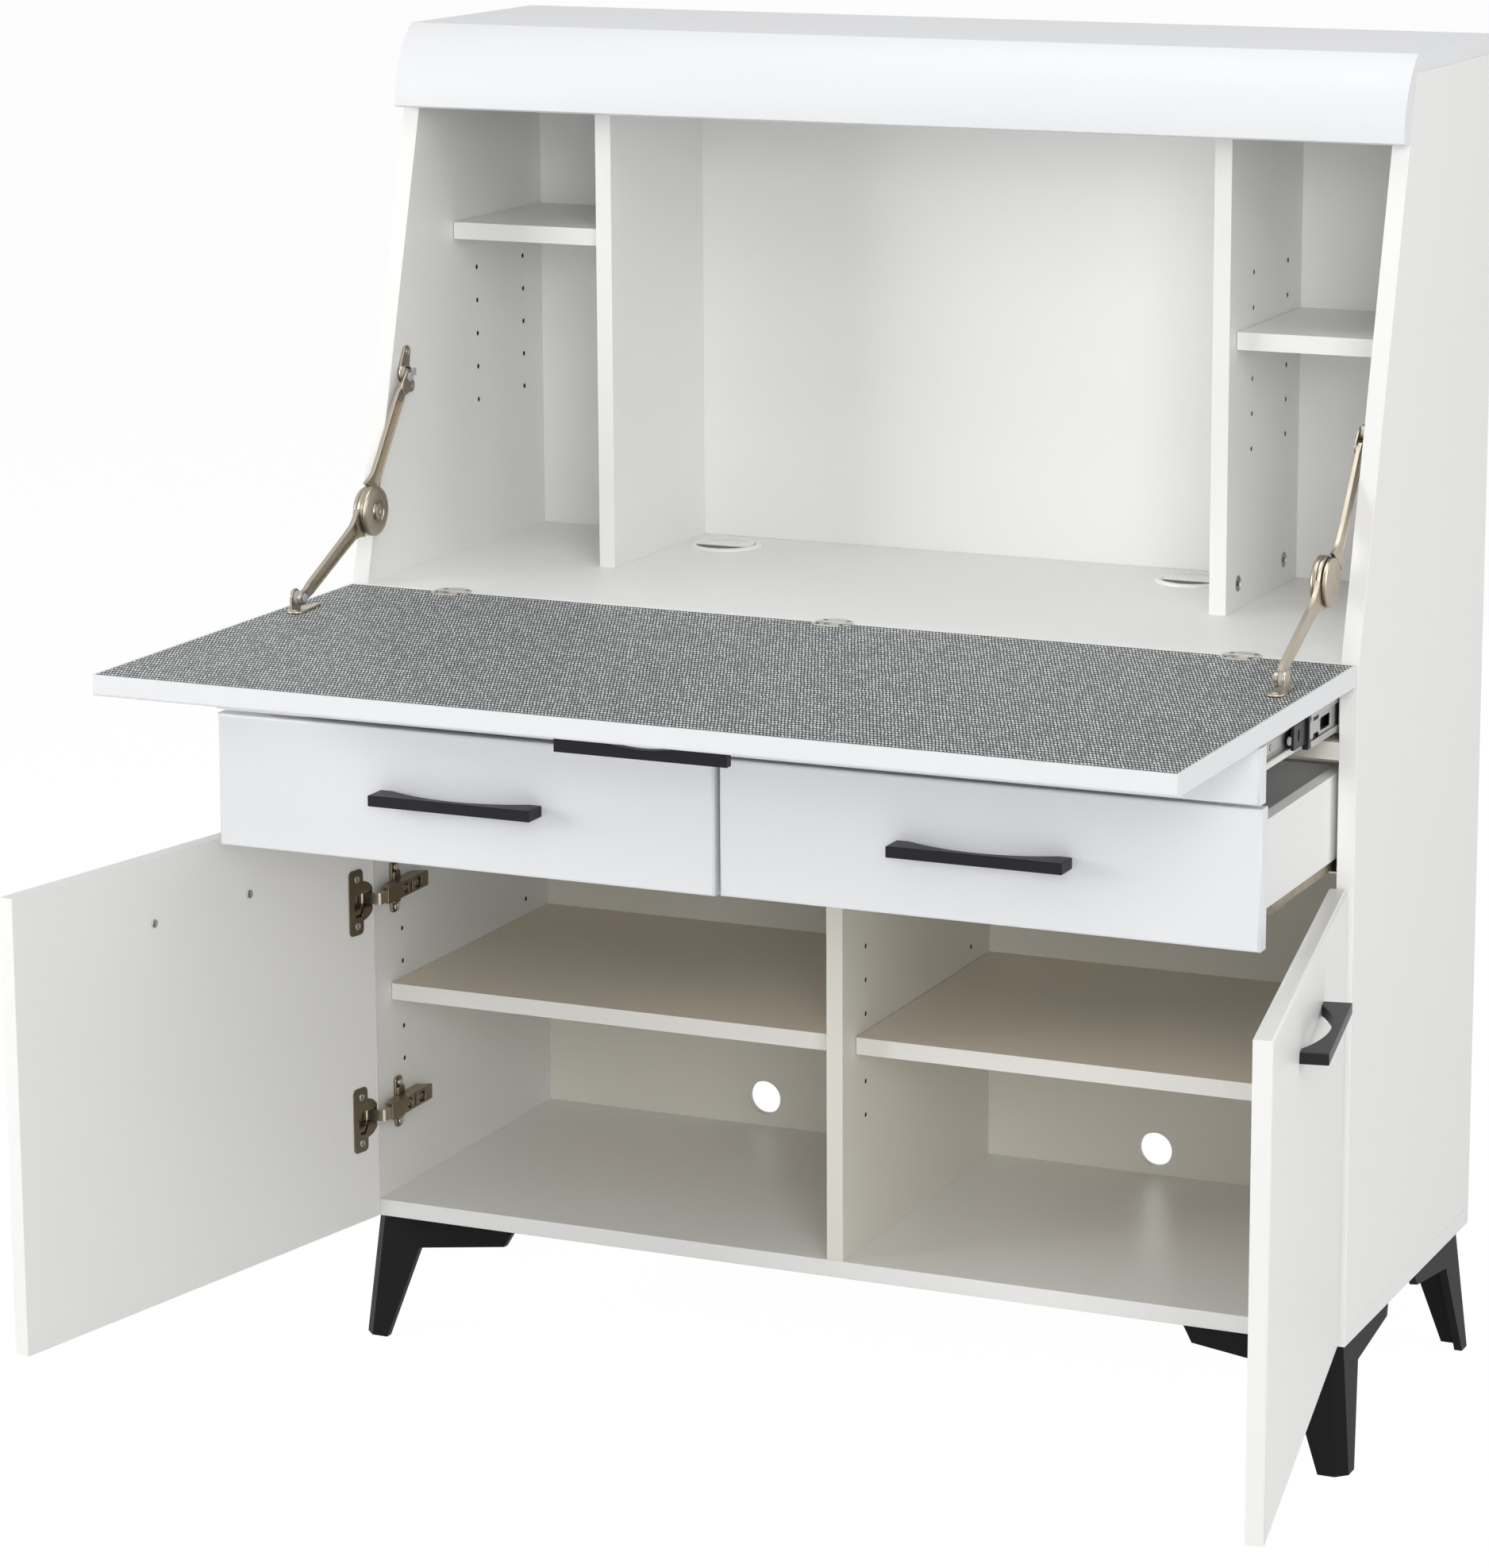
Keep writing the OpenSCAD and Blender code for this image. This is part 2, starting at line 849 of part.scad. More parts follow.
// lower arm: eye on the flap pin, bar, outer brake disc and hub
module stay_lower() {
    x0 = stay_split + 0.4;
    x1 = x0 + stay_arm_t;
    difference() {
        union() {
            rod_x(x0, x1, stay_low_y, stay_low_z, 6.5);
            stay_bar(x0 + 0.4, x1 - 0.4, low_p, mid_p, 11);
            rod_x(x0, stay_x1 - 0.2, stay_mid_y, stay_mid_z, stay_disc_r);
            rod_x(stay_x0 - 1.6, x0 + 1, stay_mid_y, stay_mid_z, hub_r);
        }
        rod_x(x0 - 1, x1 + 1, stay_low_y, stay_low_z, stay_pin_r + run_fit);
    }
}

// upper arm: rivet end at the bracket, bar and inner brake disc
module stay_upper() {
    x0 = stay_split - stay_arm_t;
    difference() {
        union() {
            rod_x(x0 - 1, stay_split, stay_up_y, stay_up_z, 6.5);
            stay_bar(x0 + 0.4, stay_split - 0.4, mid_p, up_p, 10);
            rod_x(stay_x0, stay_split, stay_mid_y, stay_mid_z, stay_disc_r);
        }
        rod_x(stay_x0 - 1, stay_split + 1, stay_mid_y, stay_mid_z, hub_r + run_fit);
    }
}

module stay_lower_left() {
    color(nickel) place() handed(-1) stay_lower();
}

module stay_lower_right() {
    color(nickel) place() stay_lower();
}

module stay_upper_left() {
    color(nickel) place() handed(-1) stay_upper();
}

module stay_upper_right() {
    color(nickel) place() stay_upper();
}

// front board with rounded outer edges, outer face at y = 0, body towards +Y
module front_board(w, h) {
    r = edge_r;
    intersection() {
        linear_extrude(h) {
            translate([0, r])
                square([w, front_t - r]);
            translate([r, 0])
                square([w - 2 * r, r + 1]);
            for (x = [r, w - r])
                translate([x, r])
                    circle(r = r);
        }
        along_x(-1, w + 1) {
            translate([r, 0])
                square([front_t - r, h]);
            translate([0, r])
                square([r + 1, h - 2 * r]);
            for (z = [r, h - r])
                translate([r, z])
                    circle(r = r);
        }
    }
}

tray_front_y = -front_gap - front_t;

module tray_front() {
    color(white) place()
        translate([-half_w + 1.5, tray_front_y - tray_out, tray_z])
            front_board(2 * half_w - 3, tray_h);
}

module tray_box() {
    y0 = -front_gap - tray_out;
    z1 = tray_box_z + tray_box_h;
    color(inner_white) place() {
        for (s = [-1, 1])
            handed(s)
                box([tray_x - box_t, y0, tray_box_z], [tray_x, y0 + tray_l, z1]);
        box([-tray_x + box_t, y0 + tray_l - box_t, tray_box_z],
            [tray_x - box_t, y0 + tray_l, z1 - 6]);
    }
}

module tray_bottom() {
    y0 = -front_gap - tray_out;
    color(inner_white) place()
        box([-tray_x + box_t, y0, tray_box_z + 1],
            [tray_x - box_t, y0 + tray_l - box_t, tray_box_z + 6]);
}

// tray member of the slide, screwed to the tray side
module tray_rails_inner() {
    y0 = -front_gap - tray_out + 2;
    color(zinc) place()
        for (s = [-1, 1])
            handed(s)
                box([tray_x, y0, rail_mid_z - 9], [tray_x + 2, y0 + rail_l, rail_mid_z + 9]);
}

// middle member with its ball cage, half as far out as the tray
module tray_rails_middle() {
    y0 = 20 - tray_out / 2;
    color(zinc) place()
        for (s = [-1, 1])
            handed(s)
                difference() {
                    box([tray_x + 2.4, y0, rail_mid_z - 15.6],
                        [inner_x - 2, y0 + 270, rail_mid_z + 15.6]);
                    box([tray_x, y0 - 1, rail_mid_z - 11],
                        [inner_x - 4, y0 + 271, rail_mid_z + 11]);
                    for (k = [0 : 4])
                        box([tray_x, y0 + 60 + k * 42, rail_mid_z - 6],
                            [inner_x, y0 + 80 + k * 42, rail_mid_z + 6]);
                }
}

// drawers, drawn as for the right-hand side with their own pull-out
drawer_x0 = 1.5;
drawer_x1 = half_w - 1.5;
box_x0 = low_div_x + box_gap;
box_x1 = inner_x - box_gap;

module drawer_front(out) {
    translate([drawer_x0, tray_front_y - out, drawer_z])
        front_board(drawer_x1 - drawer_x0, drawer_h);
}

module drawer_box(out) {
    y0 = -front_gap - out;
    for (x = [box_x0, box_x1 - box_t])
        box([x, y0, box_z], [x + box_t, y0 + box_l, box_z + box_h]);
    box([box_x0 + box_t, y0 + box_l - box_t, box_z],
        [box_x1 - box_t, y0 + box_l, box_z + box_h - 8]);
}

module drawer_bottom(out) {
    y0 = -front_gap - out;
    box([box_x0 + box_t, y0, box_z + floor_lift],
        [box_x1 - box_t, y0 + box_l - box_t, box_z + floor_lift + drawer_floor_t]);
}

module drawer_handle(out) {
    translate([(drawer_x0 + drawer_x1) / 2, tray_front_y - out, drawer_z + drawer_h / 2])
        bow_handle();
}

// drawer members of the runners under the box, with the front catch
module drawer_rails(out) {
    y0 = -front_gap - out;
    for (x = [box_x0, box_x1 - box_t]) {
        box([x + 0.5, y0 + 76, box_z - 8], [x + box_t - 0.5, y0 + 310, box_z]);
        box([x - 1 + (x > 100 ? 0 : 1), y0 + 76, box_z - 9.4],
            [x + box_t + (x > 100 ? 0 : 1), y0 + 110, box_z - 8]);
    }
}

module drawer_front_left() {
    color(white) place() handed(-1) drawer_front(drawer_out_l);
}

module drawer_front_right() {
    color(white) place() drawer_front(drawer_out_r);
}

module drawer_box_left() {
    color(inner_white) place() handed(-1) drawer_box(drawer_out_l);
}

module drawer_box_right() {
    color(inner_white) place() drawer_box(drawer_out_r);
}

module drawer_bottom_left() {
    color(inner_white) place() handed(-1) drawer_bottom(drawer_out_l);
}

module drawer_bottom_right() {
    color(inner_white) place() drawer_bottom(drawer_out_r);
}

module drawer_handle_left() {
    color(black) place() handed(-1) drawer_handle(drawer_out_l);
}

module drawer_handle_right() {
    color(black) place() drawer_handle(drawer_out_r);
}

module drawer_rails_left() {
    color(zinc) place() handed(-1) drawer_rails(drawer_out_l);
}

module drawer_rails_right() {
    color(zinc) place() drawer_rails(drawer_out_r);
}

// doors, drawn closed on the right-hand side and then swung open
module door_panel() {
    x1 = hx(door_edge_x);
    door_pose()
        difference() {
            translate([x1 - door_w, tray_front_y, door_z])
                front_board(door_w, door_h);
            // rounded inner edge that swings past the side panel
            difference() {
                box([x1 - 3, -front_gap - 3, door_z - 1],
                    [x1 + 1, -front_gap + 1, door_z + door_h + 1]);
                translate([x1 - 3, -front_gap - 3, door_z - 2])
                    cylinder(h = door_h + 4, r = 3);
            }
            for (z = hinge_zs)
                translate([hx(cup_x), -front_gap, z])
                    rotate([90, 0, 0])
                        translate([0, 0, -1])
                            cylinder(h = cup_depth + 1, r = cup_r);
        }
}

module door_handle() {
    door_pose()
        translate([hx(door_edge_x) - door_w / 2, tray_front_y,
            door_z + door_h - door_handle_drop])
            bow_handle();
}

// hinge cup: pot in the door, flange with two screws, and the pin across it
module door_cup(z) {
    flange = 1.2;
    y0 = -front_gap;
    difference() {
        union() {
            translate([hx(cup_x), y0, z])
                rotate([90, 0, 0])
                    cylinder(h = cup_depth, r = cup_r);
            intersection() {
                translate([hx(cup_x), y0 + flange, z])
                    rotate([90, 0, 0])
                        cylinder(h = flange, r = cup_r + 1.5);
                box([hx(40), y0 - 1, z - 30], [hx(-10), y0 + 5, z + 30]);
            }
            box([hx(cup_x + 18.5), y0, z - 31.5], [hx(cup_x - 2), y0 + flange, z + 31.5]);
            for (k = [-1, 1])
                translate([hx(cup_x + 6.5), y0 + 2, z + k * 22.5])
                    rotate([90, 0, 0])
                        cylinder(h = 2, r = 4);
        }
        translate([hx(cup_x), y0 + 5, z])
            rotate([90, 0, 0])
                cylinder(h = cup_depth + 5 - cup_floor, r = cup_r - cup_wall);
        for (k = [-1, 1])
            translate([hx(cup_x + 6.5), y0 + 3, z + k * 22.5])
                rotate([90, 0, 0])
                    cylinder(h = 2, r = 1.4);
    }
    translate([hx(door_pin_x), door_pin_y, z - 10.4])
        cylinder(h = 20.8, r = hinge_pin_r);
}

module door_cups() {
    door_pose()
        for (z = hinge_zs)
            door_cup(z);
}

module door_panel_left() {
    color(white) place() handed(-1) door_panel();
}

module door_panel_right() {
    color(white) place() door_panel();
}

module door_handle_left() {
    color(black) place() handed(-1) door_handle();
}

module door_handle_right() {
    color(black) place() door_handle();
}

module door_cups_left() {
    color(bronze) place() handed(-1) door_cups();
}

module door_cups_right() {
    color(bronze) place() door_cups();
}

side_panel_left();
side_panel_right();
top_board();
fascia();
bottom_board();
worktop();
front_rail();
lower_divider();
upper_divider_left();
upper_divider_right();
upper_shelf_left();
upper_shelf_right();
lower_shelf_left();
lower_shelf_right();
back_panel_upper();
back_panel_lower();
shelf_pins();
cam_fittings();
cable_grommets();
leg_front_left();
leg_front_right();
leg_back_left();
leg_back_right();
door_hinge_arms();
door_hinge_plates();
flap_hinge_fixed();
stay_brackets();
tray_rails_fixed();
drawer_runners();
flap_board();
flap_laminate();
flap_handle();
flap_hinge_cups();
stay_feet();
stay_lower_left();
stay_lower_right();
stay_upper_left();
stay_upper_right();
tray_front();
tray_box();
tray_bottom();
tray_rails_inner();
tray_rails_middle();
drawer_front_left();
drawer_box_left();
drawer_bottom_left();
drawer_handle_left();
drawer_rails_left();
drawer_front_right();
drawer_box_right();
drawer_bottom_right();
drawer_handle_right();
drawer_rails_right();
door_panel_left();
door_handle_left();
door_cups_left();
door_panel_right();
door_handle_right();
door_cups_right();
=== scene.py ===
"""Dresses a white secretary desk: boards, flap, tray, drawers, doors, stays, hinges and legs.

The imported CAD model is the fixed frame. Lengths here are in millimetres, measured from the
underside of the carcass, its front edge and its middle, and become metres when a piece is made.
"""

import logging
import math
from dataclasses import dataclass, field, replace
from enum import Enum
from typing import ClassVar, Iterable, NamedTuple, Sequence

import bmesh
import bpy
from mathutils import Euler, Matrix, Vector
from mathutils.geometry import tessellate_polygon


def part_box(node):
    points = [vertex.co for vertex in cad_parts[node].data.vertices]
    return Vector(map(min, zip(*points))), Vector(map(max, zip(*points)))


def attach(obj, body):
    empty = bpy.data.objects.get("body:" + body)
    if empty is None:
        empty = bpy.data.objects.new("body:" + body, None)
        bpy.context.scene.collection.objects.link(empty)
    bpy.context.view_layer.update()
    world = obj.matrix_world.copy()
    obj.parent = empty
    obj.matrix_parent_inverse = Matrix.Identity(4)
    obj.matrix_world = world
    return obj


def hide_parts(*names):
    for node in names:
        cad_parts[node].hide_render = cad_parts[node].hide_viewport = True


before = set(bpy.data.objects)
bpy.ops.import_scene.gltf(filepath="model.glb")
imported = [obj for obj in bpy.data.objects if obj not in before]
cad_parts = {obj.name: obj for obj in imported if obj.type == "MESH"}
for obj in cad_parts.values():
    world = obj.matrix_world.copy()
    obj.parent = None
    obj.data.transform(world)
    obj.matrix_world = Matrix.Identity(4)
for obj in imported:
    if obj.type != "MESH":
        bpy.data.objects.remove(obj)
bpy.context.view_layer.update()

log = logging.getLogger("desk")

Point2 = tuple[float, float]
Point3 = tuple[float, float, float]
Ring = list[Point2]

MM = 0.001
DATUM = Vector((0.0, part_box("bottom_board")[0].y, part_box("bottom_board")[0].z))
BOTH = (-1, 1)  # left and right, or the two ends of something symmetrical
WALL_X = 471.0  # inner face of the right side panel
WORKTOP_Z = 611.0  # upper face of the worktop and of the open flap
FRONT_Y = -18.0  # outer face of the closed fronts
DOOR_PIN = (-6.8, -11.6)  # pin of the door hinges: distance inwards from the side panel, and Y
DOOR_HINGE_ZS = (103.0, 314.0)
HOLE_PITCH = 32.0  # between the holes of a shelf-pin row
CORNER_STEPS = 6
SMOOTH_ANGLE = math.radians(38)
SHARP_ANGLE = math.radians(40)
FLAT_ANGLE = math.radians(0.4)
BOARD_EDGE, OUTER_EDGE, THIN_EDGE = 0.4, 0.5, 0.2


def metres(point: Sequence[float]) -> Vector:
    """Turns a carcass point in millimetres into a point of the frame in metres."""
    return Vector(point) * MM + DATUM


# ---------------------------------------------------------------- shapes


class Axis(Enum):
    """Axis of an extruded or turned part, as the order in which a, b and the height are read."""

    X = (2, 0, 1)
    Y = (0, 2, 1)
    Z = (0, 1, 2)

    def point(self, a: float, b: float, h: float) -> Point3:
        """Places outline coordinates (a, b) at height h along this axis."""
        return tuple((a, b, h)[i] for i in self.value)


def circle(cx: float, cy: float, r: float, count: int = 32) -> Ring:
    """Ring of points on a circle, anticlockwise."""
    return arc(cx, cy, r, 0.0, 360.0 * (count - 1) / count, count)


def arc(cx: float, cy: float, r: float, start: float, end: float, count: int) -> Ring:
    """Points on an arc between two angles in degrees."""
    steps = [math.radians(start + (end - start) * i / (count - 1)) for i in range(count)]
    return [(cx + r * math.cos(t), cy + r * math.sin(t)) for t in steps]


def rectangle(x0: float, y0: float, x1: float, y1: float, r: float) -> Ring:
    """Rectangle with rounded corners, anticlockwise.

    Args:
        x0: lower first coordinate.
        y0: lower second coordinate.
        x1: upper first coordinate.
        y1: upper second coordinate.
        r: radius of the corners.

    Returns:
        The ring.
    """
    corners = ((x1 - r, y0 + r, -90), (x1 - r, y1 - r, 0), (x0 + r, y1 - r, 90),
               (x0 + r, y0 + r, 180))
    return [p for cx, cy, a in corners for p in arc(cx, cy, r, a, a + 90, CORNER_STEPS)]


def bend(o: Point2, a: Point2, b: Point2) -> float:
    """How far b lies to the left of the line from o through a."""
    return (a[0] - o[0]) * (b[1] - o[1]) - (a[1] - o[1]) * (b[0] - o[0])


def half_hull(points: Iterable[Point2]) -> Ring:
    """One side of a convex outline.

    Args:
        points: points in order along the outline.

    Returns:
        The corners of that side, without its last one.
    """
    out: Ring = []
    for p in points:
        while len(out) > 1 and bend(out[-2], out[-1], p) <= 0:
            out.pop()
        out.append(p)
    return out[:-1]


def hull(points: Iterable[Point2]) -> Ring:
    """Convex outline round a set of points, anticlockwise."""
    pts = sorted(set(points))
    return half_hull(pts) + half_hull(reversed(pts))


def wound(ring: Ring, left: bool = True) -> Ring:
    """A ring that runs anticlockwise, or clockwise where left is False."""
    area = sum(a[0] * b[1] - b[0] * a[1] for a, b in zip(ring, ring[1:] + ring[:1]))
    return ring if (area > 0 if left else area < 0) else ring[::-1]


def lens(half: Ring) -> Ring:
    """Closes one half of an outline with its mirror image across the first axis."""
    return half + [(u, -v) for u, v in reversed(half)]


def inset(ring: Ring, distance: float) -> Ring:
    """Moves every edge of a ring to its left, with mitred corners.

    Args:
        ring: the corners.
        distance: how far the edges move.

    Returns:
        The moved corners.
    """
    out: Ring = []
    for i, p in enumerate(ring):
        before, after = ring[i - 1], ring[(i + 1) % len(ring)]
        d1 = Vector((p[0] - before[0], p[1] - before[1])).normalized()
        d2 = Vector((after[0] - p[0], after[1] - p[1])).normalized()
        n1, n2 = Vector((-d1.y, d1.x)), Vector((-d2.y, d2.x))
        shift = (n1 + n2) * (distance / max(1 + n1.dot(n2), 0.35))
        out.append((p[0] + shift.x, p[1] + shift.y))
    return out


@dataclass
class Shell:
    """Closed surfaces gathered in millimetres before they become one mesh."""

    verts: list[Point3] = field(default_factory=list)
    faces: list[tuple[int, ...]] = field(default_factory=list)

    def plate(self, outline: Ring, axis: Axis, low: float, high: float, edge: float = 0.0,
              holes: Sequence[Ring] = (), steps: int = 3) -> "Shell":
        """Extrudes an outline with holes, its rims rounded.

        Args:
            outline: ring round the plate.
            axis: direction of the extrusion.
            low: start along the axis.
            high: end along the axis.
            edge: rounding of the rims.
            holes: rings cut through the plate.
            steps: facets in each rounded rim.

        Returns:
            This shell, for chaining.
        """
        rings = [wound(outline)] + [wound(h, left=False) for h in holes]
        levels = [(0.0, low), (0.0, high)]
        if edge > 0:
            turns = [math.pi / 2 * i / steps for i in range(steps + 1)]
            rim = [(edge * (1 - math.sin(t)), edge * (1 - math.cos(t))) for t in turns]
            levels = [(i, low + h) for i, h in rim] + [(i, high - h) for i, h in rim[::-1]]
        starts: list[list[int]] = []
        for shift, height in levels:
            starts.append([])
            for ring in rings:
                starts[-1].append(len(self.verts))
                moved = inset(ring, shift) if shift > 0 else ring
                self.verts += [axis.point(a, b, height) for a, b in moved]
        for below, above in zip(starts, starts[1:]):
            for ring, s0, s1 in zip(rings, below, above):
                n = len(ring)
                self.faces += [(s0 + i, s0 + (i + 1) % n, s1 + (i + 1) % n, s1 + i)
                               for i in range(n)]
        ends = [inset(r, levels[0][0]) if edge > 0 else r for r in rings]
        for triangle in tessellate_polygon([[Vector((a, b, 0)) for a, b in r] for r in ends]):
            self.faces.append(tuple(starts[0][0] + i for i in triangle))
            self.faces.append(tuple(starts[-1][0] + i for i in reversed(triangle)))
        return self

    def lathe(self, profile: Ring, axis: Axis, centre: Point2, steps: int = 40) -> "Shell":
        """Turns a closed (radius, height) profile round an axis.

        Args:
            profile: corners of the section, radius first.
            axis: direction of the turning axis.
            centre: where the axis passes, in outline coordinates.
            steps: facets round the axis.

        Returns:
            This shell, for chaining.
        """
        rows: list[list[int]] = []
        for r, h in profile:
            count = 1 if r < 1e-6 else steps
            rows.append(list(range(len(self.verts), len(self.verts) + count)))
            for t in (2 * math.pi * i / steps for i in range(count)):
                a, b = centre[0] + r * math.cos(t), centre[1] + r * math.sin(t)
                self.verts.append(axis.point(a, b, h))
        for a, b in zip(rows, rows[1:] + rows[:1]):
            for i in range(steps):
                j = (i + 1) % steps
                corners = ((a, i), (a, j), (b, j), (b, i))
                face = tuple(dict.fromkeys(row[k % len(row)] for row, k in corners))
                if len(face) > 2:
                    self.faces.append(face)
        return self

    def moved(self, matrix: Matrix) -> "Shell":
        """A copy of this shell, moved by a matrix that is in millimetres."""
        return Shell([tuple(matrix @ Vector(v)) for v in self.verts], list(self.faces))

    def mirrored(self, side: int) -> "Shell":
        """This shell for the right (1) or its mirror image for the left (-1)."""
        return Shell([(v[0] * side, v[1], v[2]) for v in self.verts], list(self.faces))

    def paired(self) -> "Shell":
        """The mirror image for the left joined to this shell for the right."""
        return self.mirrored(-1).joined(self)

    def joined(self, *others: "Shell") -> "Shell":
        """Adds the surfaces of other shells to this one.

        Args:
            *others: the shells to add.

        Returns:
            This shell, for chaining.
        """
        for other in others:
            start = len(self.verts)
            self.verts += other.verts
            self.faces += [tuple(i + start for i in f) for f in other.faces]
        return self

    def mesh(self, name: str, in_place: bool = True) -> bpy.types.Mesh:
        """Makes a Blender mesh with its faces pointing outwards.

        Args:
            name: name of the mesh.
            in_place: True to move it to its place in the frame, False to keep it at the origin.

        Returns:
            The mesh, in metres.
        """
        made = bpy.data.meshes.new(name)
        verts = [metres(v) if in_place else Vector(v) * MM for v in self.verts]
        made.from_pydata(verts, [], self.faces)
        bm = bmesh.new()
        bm.from_mesh(made)
        bmesh.ops.remove_doubles(bm, verts=bm.verts, dist=1e-7)
        bmesh.ops.recalc_face_normals(bm, faces=bm.faces)
        bm.to_mesh(made)
        bm.free()
        return made


# ---------------------------------------------------------------- pieces


class Slot(Enum):
    """Material slots of the record."""

    WHITE = "white_board"
    INNER = "inner_board"
    LAMINATE = "grey_laminate"
    HANDLE = "handle_black"
    LEG = "leg_black"
    BRONZE = "hinge_bronze"
    NICKEL = "stay_nickel"
    ZINC = "zinc_steel"
    PLASTIC = "grommet_plastic"


@dataclass(frozen=True)
class Coat:
    """A built material and the slot of the record that a piece with it goes in."""

    material: bpy.types.Material
    slot: Slot

    def filed(self, slot: Slot) -> "Coat":
        """The same material in another slot."""
        return replace(self, slot=slot)


def settle(obj: bpy.types.Object) -> bpy.types.Object:
    """Evaluates an object's modifiers into a plain mesh and drops them.

    Args:
        obj: object with live modifiers.

    Returns:
        The same object, with the finished mesh and no modifiers.
    """
    graph = bpy.context.evaluated_depsgraph_get()
    graph.update()
    made = bpy.data.meshes.new_from_object(obj.evaluated_get(graph), depsgraph=graph)
    obj.modifiers.clear()
    obj.data = made
    return obj


def smoothed(obj: bpy.types.Object) -> bpy.types.Object:
    """Smooths rounded faces and marks the edges that stay sharp.

    Args:
        obj: object with a plain mesh.

    Returns:
        The same object.
    """
    obj.data.shade_smooth()
    obj.data.set_sharp_from_angle(angle=SMOOTH_ANGLE)
    return obj


def shaded(obj: bpy.types.Object) -> bpy.types.Object:
    """Smooths rounded faces and keeps flat ones flat.

    Args:
        obj: object with a plain mesh.

    Returns:
        The same object.
    """
    weighted = smoothed(obj).modifiers.new("weighted", "WEIGHTED_NORMAL")
    weighted.mode = "FACE_AREA"
    weighted.keep_sharp = True
    return settle(obj)


def new_object(name: str, data: bpy.types.ID | None) -> bpy.types.Object:
    """Links a mesh, lamp or camera to the scene as an object at the origin.

    Args:
        name: name of the object.
        data: what it shows.

    Returns:
        The object.
    """
    obj = bpy.data.objects.new(name, data)
    bpy.context.scene.collection.objects.link(obj)
    return obj


def dress(obj: bpy.types.Object, body: str, coat: Coat, *replaces: str) -> bpy.types.Object:
    """Gives a finished piece its material and body, and reports it.

    Args:
        obj: the finished piece.
        body: CAD body that it rides on.
        coat: its material and slot.
        *replaces: CAD nodes that it stands for.

    Returns:
        The piece.
    """
    obj.data.materials.clear()
    obj.data.materials.append(coat.material)
    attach(obj, body)
    if replaces:
        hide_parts(*replaces)
    obj.data.calc_loop_triangles()
    log.info("%s rides on %s, %d triangles", obj.name, body, len(obj.data.loop_triangles))
    return obj


def shell_piece(name: str, shell: Shell, body: str, coat: Coat, *replaces: str) -> bpy.types.Object:
    """Makes and dresses a piece from a shell."""
    return dress(shaded(new_object(name, shell.mesh(name))), body, coat, *replaces)


def node_piece(name: str, node: str, body: str, coat: Coat, edge: float = BOARD_EDGE,
               shortest: float = 8.0) -> bpy.types.Object:
    """Makes a piece from a CAD node, its long sharp edges softened.

    Args:
        name: name of the piece.
        node: CAD node that it copies and replaces.
        body: CAD body that it rides on.
        coat: its material and slot.
        edge: rounding of the edges.
        shortest: edges shorter than this stay sharp.

    Returns:
        The piece.
    """
    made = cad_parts[node].data.copy()
    made.name = name
    bm = bmesh.new()
    bm.from_mesh(made)
    bmesh.ops.remove_doubles(bm, verts=bm.verts, dist=2e-6)
    bmesh.ops.dissolve_limit(bm, angle_limit=FLAT_ANGLE, verts=bm.verts, edges=bm.edges)
    long_sharp = [e for e in bm.edges if e.is_manifold and e.calc_length() > shortest * MM
                  and e.calc_face_angle(0.0) > SHARP_ANGLE]
    bmesh.ops.bevel(bm, geom=long_sharp, offset=edge * MM, offset_type="OFFSET", segments=2,
                    profile=0.5, affect="EDGES", clamp_overlap=True)
    bm.to_mesh(made)
    bm.free()
    return dress(shaded(new_object(name, made)), body, coat, node)


# ---------------------------------------------------------------- fasteners


def cross_slot(a: float, b: float) -> Ring:
    """Outline of a cross recess with arms that reach a and are 2b wide."""
    return [(a, -b), (a, b), (b, b), (b, a), (-b, a), (-b, b), (-a, b), (-a, -b), (-b, -b),
            (-b, -a), (b, -a), (b, -b)]


def screw(radius: float, height: float) -> Shell:
    """Head of a cross-head screw with a rounded rim, its outer side along Z.

    Args:
        radius: radius of the head.
        height: how far the head stands out.

    Returns:
        The head with the bottom of its recess.
    """
    recess = cross_slot(radius * 0.52, radius * 0.14)
    head = Shell().plate(circle(0, 0, radius, 28), Axis.Z, 0, height, height * 0.55, [recess])
    return head.plate(circle(0, 0, radius * 0.7, 20), Axis.Z, -0.6, height * 0.35)


def cam(radius: float) -> Shell:
    """Round cam fitting with a rim, a sunk face and a cross recess.

    Args:
        radius: radius of the rim.

    Returns:
        The fitting, its outer side along Z.
    """
    rim = [(radius * 0.8, -3.0), (radius, -3.0), (radius, 0.1), (radius * 0.93, 0.35),
           (radius * 0.84, 0.3), (radius * 0.8, -0.2)]
    recess = cross_slot(radius * 0.45, radius * 0.12)
    return Shell().lathe(rim, Axis.Z, (0, 0), 32).plate(
        circle(0, 0, radius * 0.82, 28), Axis.Z, -2.6, -0.4, holes=[recess])


def shelf_pin() -> Shell:
    """Peg along -Z with a collar, and a tab that carries the shelf.

    Returns:
        The pin.
    """
    peg = [(0, -7.4), (1.9, -7.4), (2.45, -6.6), (2.45, 0), (4.2, 0), (4.2, 1.0), (0, 1.0)]
    return Shell().lathe(peg, Axis.Z, (0, 0), 20).plate(
        rectangle(0.4, -4, 3.0, 4, 0.6), Axis.Z, 0.4, 7.0, 0.3)


# ---------------------------------------------------------------- node trees


